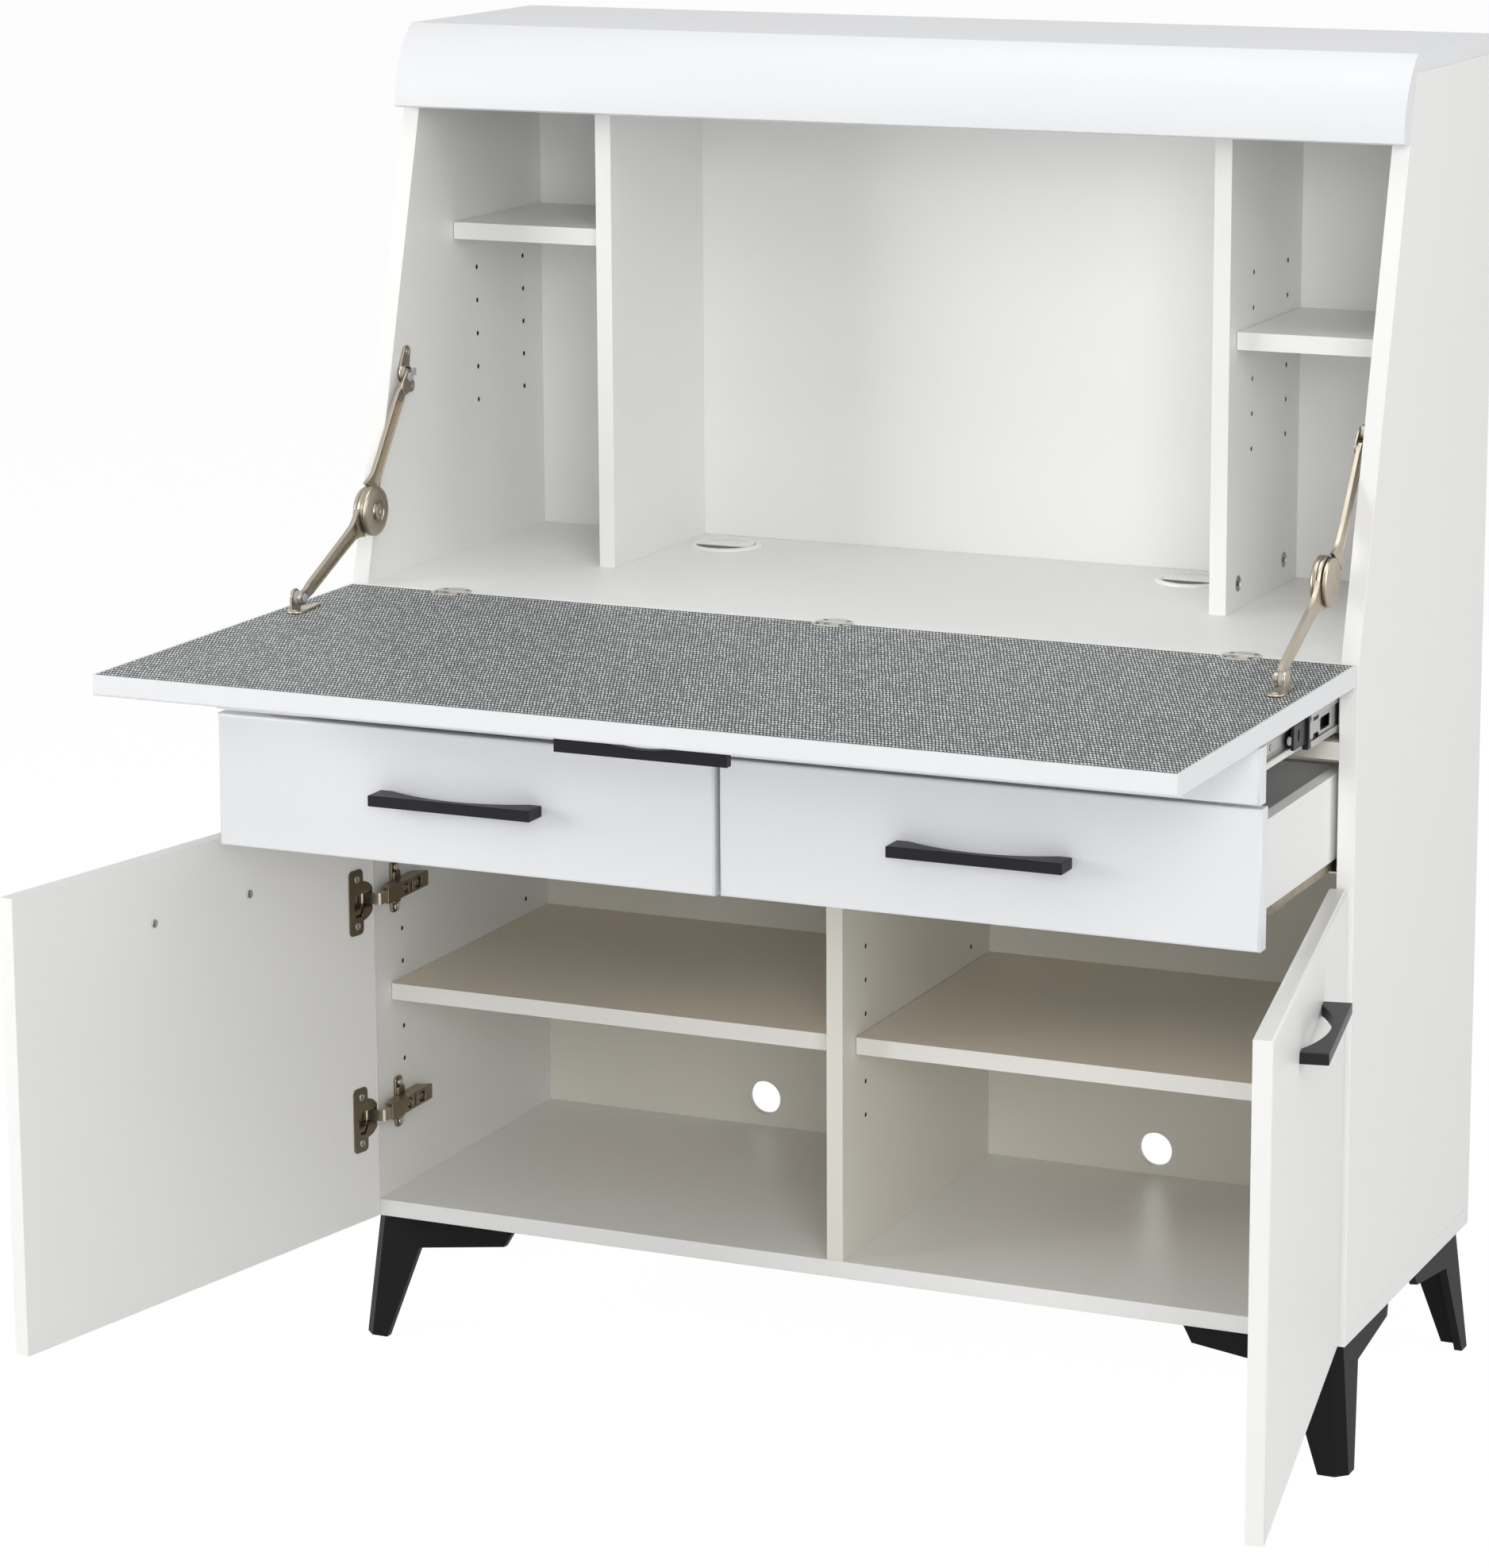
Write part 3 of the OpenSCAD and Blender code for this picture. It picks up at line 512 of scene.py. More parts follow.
class Nodes:
    """Writes the nodes of a tree."""

    def __init__(self, tree: bpy.types.NodeTree) -> None:
        """Keeps the tree that nodes are added to."""
        self.tree = tree

    def feed(self, node: bpy.types.Node, inputs: dict[str | int, object]) -> None:
        """Sets inputs of a node to values, or links them to source sockets.

        Args:
            node: the node.
            inputs: value or source socket of each input.
        """
        for key, value in inputs.items():
            if isinstance(value, bpy.types.NodeSocket):
                self.tree.links.new(value, node.inputs[key])
            else:
                node.inputs[key].default_value = value

    def node(self, kind: str, inputs: dict[str | int, object] | None = None,
             **values: object) -> bpy.types.Node:
        """Adds a node, sets its properties and feeds its inputs.

        Args:
            kind: Blender's name for the node.
            inputs: value or source socket of each input.
            **values: properties of the node.

        Returns:
            The node.
        """
        made = self.tree.nodes.new(kind)
        for key, value in values.items():
            setattr(made, key, value)
        self.feed(made, inputs or {})
        return made

    def ramp(self, source: bpy.types.NodeSocket, low: float, high: float, to_low: float = 0.0,
             to_high: float = 1.0) -> bpy.types.NodeSocket:
        """Maps a value from one range to another, clamped."""
        ends = {"From Min": low, "From Max": high, "To Min": to_low, "To Max": to_high}
        return self.node("ShaderNodeMapRange", {"Value": source} | ends).outputs["Result"]

    def math(self, operation: str, a: object, b: object = 0.0) -> bpy.types.NodeSocket:
        """Combines two values."""
        return self.node("ShaderNodeMath", {0: a, 1: b}, operation=operation).outputs[0]

    def mix(self, factor: object, a: object, b: object) -> bpy.types.NodeSocket:
        """Mixes two colours."""
        return self.node("ShaderNodeMix", {0: factor, 6: a, 7: b}, data_type="RGBA").outputs[2]

    def noise(self, vector: bpy.types.NodeSocket, scale: object, detail: float,
              roughness: float = 0.5) -> bpy.types.Node:
        """Adds a noise texture."""
        return self.node("ShaderNodeTexNoise", {"Vector": vector, "Scale": scale, "Detail": detail,
                                                "Roughness": roughness})


class Group(Nodes):
    """A node group with named sockets."""

    def __init__(self, name: str, kind: str, inputs: dict[str, tuple[str, object]],
                 outputs: dict[str, str]) -> None:
        """Makes the group, with only its two end nodes in it.

        Args:
            name: name of the group.
            kind: Blender's name for the kind of tree.
            inputs: kind and default value of each input.
            outputs: kind of each output.
        """
        super().__init__(bpy.data.node_groups.new(name, kind))
        self.keys: dict[str, str] = {}
        sockets = self.tree.interface
        for key, (socket_kind, value) in inputs.items():
            made = sockets.new_socket(key, in_out="INPUT", socket_type=f"NodeSocket{socket_kind}")
            self.keys[key] = made.identifier
            if value is not None:
                made.default_value = value
        for key, socket_kind in outputs.items():
            sockets.new_socket(key, in_out="OUTPUT", socket_type=f"NodeSocket{socket_kind}")
        self.given = self.node("NodeGroupInput").outputs
        self.end = self.node("NodeGroupOutput")


class GeometryGroup(Group):
    """A geometry tree that is placed as a modifier and then settled."""

    def __init__(self, name: str, **inputs: str) -> None:
        """Makes the tree with a geometry at both ends, a material and inputs of the kinds given.

        Args:
            name: name of the tree.
            **inputs: kind of each further input.
        """
        kinds = {"Geometry": "Geometry", **inputs, "Material": "Material"}
        super().__init__(name, "GeometryNodeTree",
                         {key: (kind, None) for key, kind in kinds.items()},
                         {"Geometry": "Geometry"})

    def copies(self, part: bpy.types.NodeSocket, points: bpy.types.NodeSocket,
               inputs: dict[str | int, object] | None = None) -> bpy.types.NodeSocket:
        """Realized copies of a part on every point.

        Args:
            part: geometry of the part.
            points: where the copies go.
            inputs: further inputs, such as a rotation.

        Returns:
            The copies as one mesh.
        """
        placed = self.node("GeometryNodeInstanceOnPoints",
                           {"Points": points, "Instance": part} | (inputs or {}))
        return self.node("GeometryNodeRealizeInstances", {0: placed.outputs[0]}).outputs[0]

    def finish(self, geometry: bpy.types.NodeSocket) -> "GeometryGroup":
        """Ends the tree with the material from its input.

        Args:
            geometry: what the tree gives.

        Returns:
            The tree.
        """
        paint = self.node("GeometryNodeSetMaterial",
                          {"Geometry": geometry, "Material": self.given["Material"]})
        self.feed(self.end, {0: paint.outputs[0]})
        return self

    def apply(self, obj: bpy.types.Object, **values: object) -> bpy.types.Object:
        """Runs the tree on an object and keeps the result as its mesh.

        Args:
            obj: object that carries the tree.
            **values: the tree's inputs.

        Returns:
            The object, with a plain mesh.
        """
        modifier = obj.modifiers.new(self.tree.name, "NODES")
        modifier.node_group = self.tree
        for key, value in values.items():
            modifier[self.keys[key]] = value
        obj.update_tag()
        return settle(obj)


def repeat_tree() -> GeometryGroup:
    """Tree that puts a part on every point of a mesh, turned by the point's turn attribute.

    Returns:
        The tree.
    """
    g = GeometryGroup("repeat_on_points", Part="Object")
    info = g.node("GeometryNodeObjectInfo", {"Object": g.given["Part"], "As Instance": True},
                  transform_space="ORIGINAL")
    turn = g.node("GeometryNodeInputNamedAttribute", {"Name": "turn"}, data_type="FLOAT_VECTOR")
    euler = g.node("FunctionNodeEulerToRotation", {0: turn.outputs["Attribute"]})
    return g.finish(g.copies(info.outputs["Geometry"], g.given["Geometry"],
                             {"Rotation": euler.outputs[0]}))


def ball_tree() -> GeometryGroup:
    """Tree that lays a row of bearing balls from each point, along Y.

    Returns:
        The tree.
    """
    g = GeometryGroup("ball_rows", Count="Int", Spacing="Float", Radius="Float")
    step = g.node("ShaderNodeCombineXYZ", {"Y": g.given["Spacing"]}).outputs["Vector"]
    line = g.node("GeometryNodeMeshLine", {"Count": g.given["Count"], "Offset": step})
    ball = g.node("GeometryNodeMeshUVSphere",
                  {"Segments": 12, "Rings": 8, "Radius": g.given["Radius"]})
    centres = g.copies(line.outputs["Mesh"], g.given["Geometry"])
    balls = g.copies(ball.outputs["Mesh"], centres)
    return g.finish(g.node("GeometryNodeSetShadeSmooth", {"Geometry": balls}).outputs[0])


def effect_group(name: str, *outputs: str, **inputs: float) -> Group:
    """Starts a shader group that takes a vector and numbers, and gives numbers.

    Args:
        name: name of the group.
        *outputs: names of its outputs.
        **inputs: default values, with spaces in their names written as underscores.

    Returns:
        The group.
    """
    numbers = {key.replace("_", " "): ("Float", value) for key, value in inputs.items()}
    return Group(name, "ShaderNodeTree", {"Vector": ("Vector", None)} | numbers,
                 dict.fromkeys(outputs, "Float"))


def grain_group() -> Group:
    """Fine pressed grain with slow clouding, for board, paint and plastic.

    Returns:
        The group.
    """
    g = effect_group("pressed_grain", "Grain", "Cloud", "Scuff", Scale=900.0, Cloud_Scale=3.0)
    place = g.given["Vector"]
    fine = g.noise(place, g.given["Scale"], 3.0, 0.6)
    cloud = g.noise(place, g.given["Cloud Scale"], 2.0, 0.45)
    scuff = g.noise(place, 38.0, 6.0, 0.7)
    g.feed(g.end, {"Grain": fine.outputs[0], "Cloud": cloud.outputs[0],
                   "Scuff": g.ramp(scuff.outputs[0], 0.56, 0.74)})
    return g


def brushed_group() -> Group:
    """Long fine scratches along Y and a soft tarnish, for plated steel.

    Returns:
        The group.
    """
    g = effect_group("brushed_lines", "Lines", "Tarnish", Scale=500.0)
    place = g.given["Vector"]
    drawn = g.node("ShaderNodeMapping", {"Vector": place, "Scale": (1.0, 0.06, 1.0)})
    lines = g.noise(drawn.outputs[0], g.given["Scale"], 3.0, 0.65)
    tarnish = g.noise(place, 60.0, 4.0, 0.6)
    g.feed(g.end, {"Lines": lines.outputs[0], "Tarnish": g.ramp(tarnish.outputs[0], 0.42, 0.68)})
    return g


def weave_group() -> Group:
    """Coarse cloth of short raised stitches in rows, each row shifted a little like a twill.

    Returns:
        A group that gives the stitches' height and crown, each stitch's own value and slow bands.
    """
    g = effect_group("stitched_weave", "Height", "Crown", "Fleck", "Slub",
                     Pitch=0.003, Length=0.008)
    place = g.given["Vector"]
    wobble = g.noise(place, 80.0, 2.0)
    shift = g.node("ShaderNodeVectorMath", {0: wobble.outputs["Color"], 1: (0.5, 0.5, 0.5)},
                   operation="SUBTRACT")
    push = g.node("ShaderNodeVectorMath", {0: shift.outputs[0], "Scale": 0.0024}, operation="SCALE")
    moved = g.node("ShaderNodeVectorMath", {0: place, 1: push.outputs[0]}, operation="ADD")
    parts = g.node("ShaderNodeSeparateXYZ", {0: moved.outputs[0]}).outputs
    sheared = g.math("ADD", parts["X"], g.math("MULTIPLY", parts["Y"], 0.43))
    across = g.math("DIVIDE", sheared, g.given["Pitch"])
    along = g.math("DIVIDE", parts["Y"], g.given["Length"])
    cell = g.node("ShaderNodeCombineXYZ", {0: g.math("FLOOR", across), 1: g.math("FLOOR", along)})
    fleck = g.node("ShaderNodeTexWhiteNoise", {"Vector": cell.outputs[0]}, noise_dimensions="2D")
    waves = [g.math("ABSOLUTE", g.math("SINE", g.math("MULTIPLY", v, math.pi)))
             for v in (across, along)]
    height = g.math("MULTIPLY", *waves)
    slub = g.node("ShaderNodeMapping", {"Vector": place, "Scale": (0.12, 1.0, 1.0)})
    bands = g.noise(slub.outputs[0], 70.0, 2.0)
    g.feed(g.end, {"Height": height, "Crown": g.ramp(height, 0.27, 0.6),
                   "Fleck": fleck.outputs["Value"], "Slub": g.ramp(bands.outputs[0], 0.35, 0.65)})
    return g


# ---------------------------------------------------------------- finishes


Colour = tuple[float, float, float]


@dataclass
class Effects:
    """The shared shader groups, built once."""

    grain: Group = field(default_factory=grain_group)
    brushed: Group = field(default_factory=brushed_group)
    weave: Group = field(default_factory=weave_group)


class Surface(NamedTuple):
    """What a finish tells its Principled shader, and the height, depth and strength of its bump."""

    colour: bpy.types.NodeSocket
    roughness: bpy.types.NodeSocket
    height: bpy.types.NodeSocket
    depth: float
    strength: float


class Painter(Nodes):
    """Writes the nodes of one material, on object coordinates."""

    def __init__(self, tree: bpy.types.NodeTree, effects: Effects) -> None:
        """Keeps the material's tree and the shared groups.

        Args:
            tree: nodes of the material.
            effects: the shared shader groups.
        """
        super().__init__(tree)
        self.effects = effects
        self.place = self.node("ShaderNodeTexCoord").outputs["Object"]

    def effect(self, group: Group, inputs: dict[str | int, object]) -> bpy.types.NodeOutputs:
        """Outputs of a shared group."""
        return self.node("ShaderNodeGroup", {"Vector": self.place} | inputs,
                         node_tree=group.tree).outputs

    def grain(self, scale: float, cloud_scale: float) -> bpy.types.NodeOutputs:
        """Outputs of the pressed grain."""
        return self.effect(self.effects.grain, {"Scale": scale, "Cloud Scale": cloud_scale})

    def rough(self, fine: object, a: float, patches: object, b: float,
              base: float) -> bpy.types.NodeSocket:
        """Roughness from a fine pattern and patches, around a base value."""
        both = self.math("ADD", self.math("MULTIPLY", fine, a), self.math("MULTIPLY", patches, b))
        return self.math("ADD", both, base)


@dataclass(frozen=True)
class Finish:
    """What every finish has: a name, a colour, a roughness and a gloss."""

    name: str
    colour: Colour
    roughness: float = 0.5
    specular: float = 0.5
    metallic: ClassVar[float] = 0.0

    def tone(self, factor: float) -> tuple[float, float, float, float]:
        """The colour made lighter or darker by a factor."""
        return (*(min(1.0, c * factor) for c in self.colour), 1.0)

    def surface(self, s: Painter) -> Surface:
        """Writes the pattern of the finish."""
        raise NotImplementedError

    def build(self, effects: Effects) -> bpy.types.Material:
        """Builds the material.

        Args:
            effects: the shared shader groups.

        Returns:
            The material, with a Principled shader.
        """
        material = bpy.data.materials.new(self.name)
        material.use_nodes = True
        s = Painter(material.node_tree, effects)
        look = self.surface(s)
        bump = s.node("ShaderNodeBump", {"Height": look.height, "Distance": look.depth,
                                         "Strength": look.strength})
        s.feed(s.tree.nodes["Principled BSDF"], {
            "Base Color": self.tone(1.0), "Roughness": self.roughness,
            "Specular IOR Level": self.specular, "Metallic": self.metallic})
        s.feed(s.tree.nodes["Principled BSDF"], {
            "Base Color": look.colour, "Roughness": look.roughness, "Normal": bump.outputs[0]})
        return material


@dataclass(frozen=True)
class BoardFinish(Finish):
    """Melamine-faced board: fine pressed grain, slight clouding and faint scuffs."""

    scuff: float = 0.02
    # Lighter colour of faces that look forwards: painted light on the lit front edges.
    band: Colour | None = None

    def surface(self, s: Painter) -> Surface:
        """Writes the pattern, with a lighter colour on faces that look forwards: painted light on
        the lit front edges, which are the board's edge band.

        Args:
            s: writes the material's nodes.

        Returns:
            What the shader gets.
        """
        grain = s.grain(1400.0, 2.4)
        colour = s.mix(grain["Cloud"], self.tone(0.985), self.tone(1.012))
        colour = s.mix(s.math("MULTIPLY", grain["Scuff"], self.scuff), colour, self.tone(0.7))
        # Faces that look forwards get a lighter colour: painted light beside the painted shade of
        # the shelf tops.
        if self.band is not None:
            facing = s.node("ShaderNodeTexCoord").outputs["Normal"]
            normal = s.node("ShaderNodeSeparateXYZ", {0: facing})
            colour = s.mix(s.ramp(normal.outputs["Y"], -0.7, -0.9), colour, (*self.band, 1.0))
        rough = s.rough(grain["Grain"], 0.10, grain["Scuff"], 0.06, self.roughness - 0.06)
        return Surface(colour, rough, grain["Grain"], 0.00004, 0.5)


@dataclass(frozen=True)
class WeaveFinish(Finish):
    """Grey laminate printed and pressed like a coarse flecked cloth."""

    dark: Colour = (0.008, 0.011, 0.012)
    light: Colour = (0.84, 0.88, 0.87)

    def surface(self, s: Painter) -> Surface:
        """Writes the stitches, light, dark or plain, and the gaps between them.

        Args:
            s: writes the material's nodes.

        Returns:
            What the shader gets.
        """
        weave = s.effect(s.effects.weave, {"Pitch": 0.0031, "Length": 0.0078})
        grain = s.grain(2200.0, 9.0)
        yarn = s.mix(grain["Cloud"], self.tone(0.9), self.tone(1.12))
        stitch = s.mix(s.ramp(weave["Fleck"], 0.25, 0.8), yarn, (*self.light, 1))
        stitch = s.mix(s.math("MULTIPLY", weave["Slub"], 0.3), stitch, yarn)
        colour = s.mix(weave["Crown"], (*self.dark, 1), stitch)
        rough = s.ramp(weave["Crown"], 0.0, 1.0, self.roughness + 0.08, self.roughness - 0.08)
        return Surface(colour, rough, weave["Height"], 0.00012, 0.6)


@dataclass(frozen=True)
class CoatFinish(Finish):
    """Powder coat or moulded plastic: fine orange peel and rubbed high spots."""

    peel: float = 0.00006
    rub: float = 0.35

    def surface(self, s: Painter) -> Surface:
        """Writes the orange peel, its clouding and its rubbed spots.

        Args:
            s: writes the material's nodes.

        Returns:
            What the shader gets.
        """
        grain = s.grain(1100.0, 14.0)
        colour = s.mix(grain["Cloud"], self.tone(0.86), self.tone(1.14))
        colour = s.mix(s.math("MULTIPLY", grain["Scuff"], self.rub), colour, self.tone(1.5))
        rough = s.ramp(grain["Grain"], 0.3, 0.7, self.roughness - 0.06, self.roughness + 0.06)
        return Surface(colour, rough, grain["Grain"], self.peel, 0.6)


@dataclass(frozen=True)
class PlatedFinish(Finish):
    """Plated steel: fine brushed lines and a soft tarnish in the sheen."""

    tarnish: float = 0.3
    metallic: ClassVar[float] = 1.0

    def surface(self, s: Painter) -> Surface:
        """Writes the brushed lines and the tarnish.

        Args:
            s: writes the material's nodes.

        Returns:
            What the shader gets.
        """
        lines = s.effect(s.effects.brushed, {"Scale": 700.0})
        dulled = s.math("MULTIPLY", lines["Tarnish"], self.tarnish)
        colour = s.mix(dulled, self.tone(1.0), self.tone(0.68))
        rough = s.rough(lines["Lines"], 0.16, lines["Tarnish"], 0.08, self.roughness - 0.1)
        return Surface(colour, rough, lines["Lines"], 0.00001, 0.3)


@dataclass
class Palette:
    """Every material of the desk, each with the slot that its pieces usually go in."""

    effects: Effects = field(default_factory=Effects)

    def coat(self, slot: Slot, finish: Finish) -> Coat:
        """Builds a finish for a slot."""
        return Coat(finish.build(self.effects), slot)

    def __post_init__(self) -> None:
        """Builds the materials from their finishes."""
        make, board, coat, plated = self.coat, BoardFinish, CoatFinish, PlatedFinish
        self.white = make(Slot.WHITE, board("white_melamine", (0.785, 0.793, 0.81), 0.34, 0.5))
        self.carcass = make(Slot.WHITE, board("carcass_melamine", (0.865, 0.862, 0.845),
                                              0.42, 0.45))
        self.inner = make(Slot.INNER, board("inner_melamine", (0.872, 0.87, 0.855), 0.46, 0.4))
        # Darker, warmer copies of the inner board for the lower compartments: painted shade.
        self.lower = make(Slot.INNER, board("lower_melamine", (0.795, 0.775, 0.70), 0.5, 0.35,
                                            0.04))
        # The shelves' last colour is the lighter colour of their forward faces: painted light.
        self.shelf = make(Slot.INNER, board("shelf_melamine", (0.82, 0.74, 0.615), 0.5, 0.3, 0.05,
                                            (0.84, 0.82, 0.775)))
        self.laminate = make(Slot.LAMINATE, WeaveFinish("woven_laminate", (0.44, 0.475, 0.475),
                                                        0.5, 0.4))
        # Near-black brown: board inside with painted shade, and painted shade at hinge gaps and
        # screws.
        self.core = make(Slot.INNER, coat("raw_core", (0.045, 0.036, 0.026), 0.9, 0.05, 0.0002))
        self.handle = make(Slot.HANDLE, coat("handle_paint", (0.010, 0.010, 0.012), 0.4, 0.22))
        self.leg = make(Slot.LEG, coat("leg_paint", (0.006, 0.006, 0.007), 0.5, 0.12, 0.0001))
        self.nickel = make(Slot.NICKEL, plated("warm_nickel", (0.42, 0.372, 0.30), 0.33,
                                               tarnish=0.14))
        self.satin = make(Slot.NICKEL, plated("satin_nickel", (0.70, 0.685, 0.65), 0.42,
                                              tarnish=0.15))
        # Hinge finish, also laid on the drawer rails as painted shade under the drawers.
        self.bronze = make(Slot.BRONZE, plated("dark_nickel", (0.31, 0.262, 0.195), 0.34,
                                               tarnish=0.25))
        self.link = make(Slot.NICKEL, plated("bright_nickel", (0.56, 0.51, 0.43), 0.3,
                                             tarnish=0.12))
        self.zinc = make(Slot.ZINC, plated("zinc_plate", (0.46, 0.46, 0.435), 0.36, tarnish=0.2))
        self.black = make(Slot.HANDLE, coat("black_plastic", (0.012, 0.012, 0.013), 0.38, 0.3,
                                            0.00003))
        self.grey = make(Slot.PLASTIC, coat("grey_plastic", (0.42, 0.42, 0.44), 0.4, 0.5, 0.00003,
                                            0.1))
        self.grommet = make(Slot.PLASTIC, coat("white_plastic", (0.89, 0.89, 0.89), 0.25, 0.5,
                                               0.00002, 0.05))


# ---------------------------------------------------------------- repeated parts


@dataclass(frozen=True)
class Spot:
    """Where one repeated part goes, and which way its own Z axis points."""

    place: Point3
    facing: Point3 = (0.0, 0.0, 1.0)
    spin: float = 0.0

    def turn(self) -> Euler:
        """Euler angles that take Z to the facing direction."""
        towards = Vector((0, 0, 1)).rotation_difference(Vector(self.facing))
        return (towards @ Euler((0, 0, math.radians(self.spin))).to_quaternion()).to_euler()

    def posed(self, matrix: Matrix) -> "Spot":
        """This spot moved by a matrix that is in millimetres."""
        return Spot(tuple(matrix @ Vector(self.place)),
                    tuple(matrix.to_3x3() @ Vector(self.facing)), self.spin)

    def mirrored(self, side: int) -> "Spot":
        """This spot for the right (1) or its mirror image for the left (-1)."""
        return Spot((self.place[0] * side, *self.place[1:]),
                    (self.facing[0] * side, *self.facing[1:]), self.spin)


def both_sides(spots: Sequence[Spot]) -> list[Spot]:
    """The mirror images of spots for the left, and then the spots for the right."""
    return [s.mirrored(side) for side in BOTH for s in spots]


@dataclass
class Workshop:
    """What every sub-assembly needs: materials, and the trees that repeat small parts."""

    palette: Palette = field(default_factory=Palette)
    tree: GeometryGroup = field(default_factory=repeat_tree)
    balls: GeometryGroup = field(default_factory=ball_tree)

    @staticmethod
    def points(name: str, places: Iterable[Point3]) -> bpy.types.Object:
        """Makes an object that is only points.

        Args:
            name: name of the object.
            places: the points.

        Returns:
            The object.
        """
        mesh = bpy.data.meshes.new(name)
        mesh.from_pydata([metres(p) for p in places], [], [])
        return new_object(name, mesh)

    def lay(self, name: str, part: Shell, spots: Sequence[Spot], body: str, coat: Coat,
            *replaces: str) -> bpy.types.Object:
        """Puts a part on every spot and dresses the result as one piece.

        Args:
            name: name of the piece.
            part: the part, drawn at the origin with its outer side along Z.
            spots: where the parts go.
            body: CAD body that the piece rides on.
            coat: its material and slot.
            *replaces: CAD nodes that it stands for.

        Returns:
            The piece.
        """
        stamp = name + "_template"
        template = smoothed(new_object(stamp, part.mesh(stamp, in_place=False)))
        obj = self.points(name, [s.place for s in spots])
        turns = obj.data.attributes.new("turn", "FLOAT_VECTOR", "POINT")
        for item, spot in zip(turns.data, spots):
            item.vector = Vector(spot.turn())
        self.tree.apply(obj, Part=template, Material=coat.material)
        bpy.data.objects.remove(template)
        return dress(obj, body, coat, *replaces)

    def roll(self, name: str, starts: Sequence[Point3], count: int, spacing: float, radius: float,
             body: str, coat: Coat) -> bpy.types.Object:
        """Lays rows of bearing balls along Y.

        Args:
            name: name of the piece.
            starts: first ball of each row.
            count: balls in a row.
            spacing: distance between balls.
            radius: radius of a ball.
            body: CAD body that the piece rides on.
            coat: its material and slot.

        Returns:
            The piece.
        """
        obj = self.balls.apply(self.points(name, starts), Count=count, Spacing=spacing * MM,
                               Radius=radius * MM, Material=coat.material)
        return dress(obj, body, coat)


class Side(Enum):
    """Left or right of the desk, as seen from the front."""

    LEFT = -1
    RIGHT = 1

    @property
    def word(self) -> str:
        """Name used in nodes and bodies."""
        return self.name.lower()


# ---------------------------------------------------------------- carcass and flap


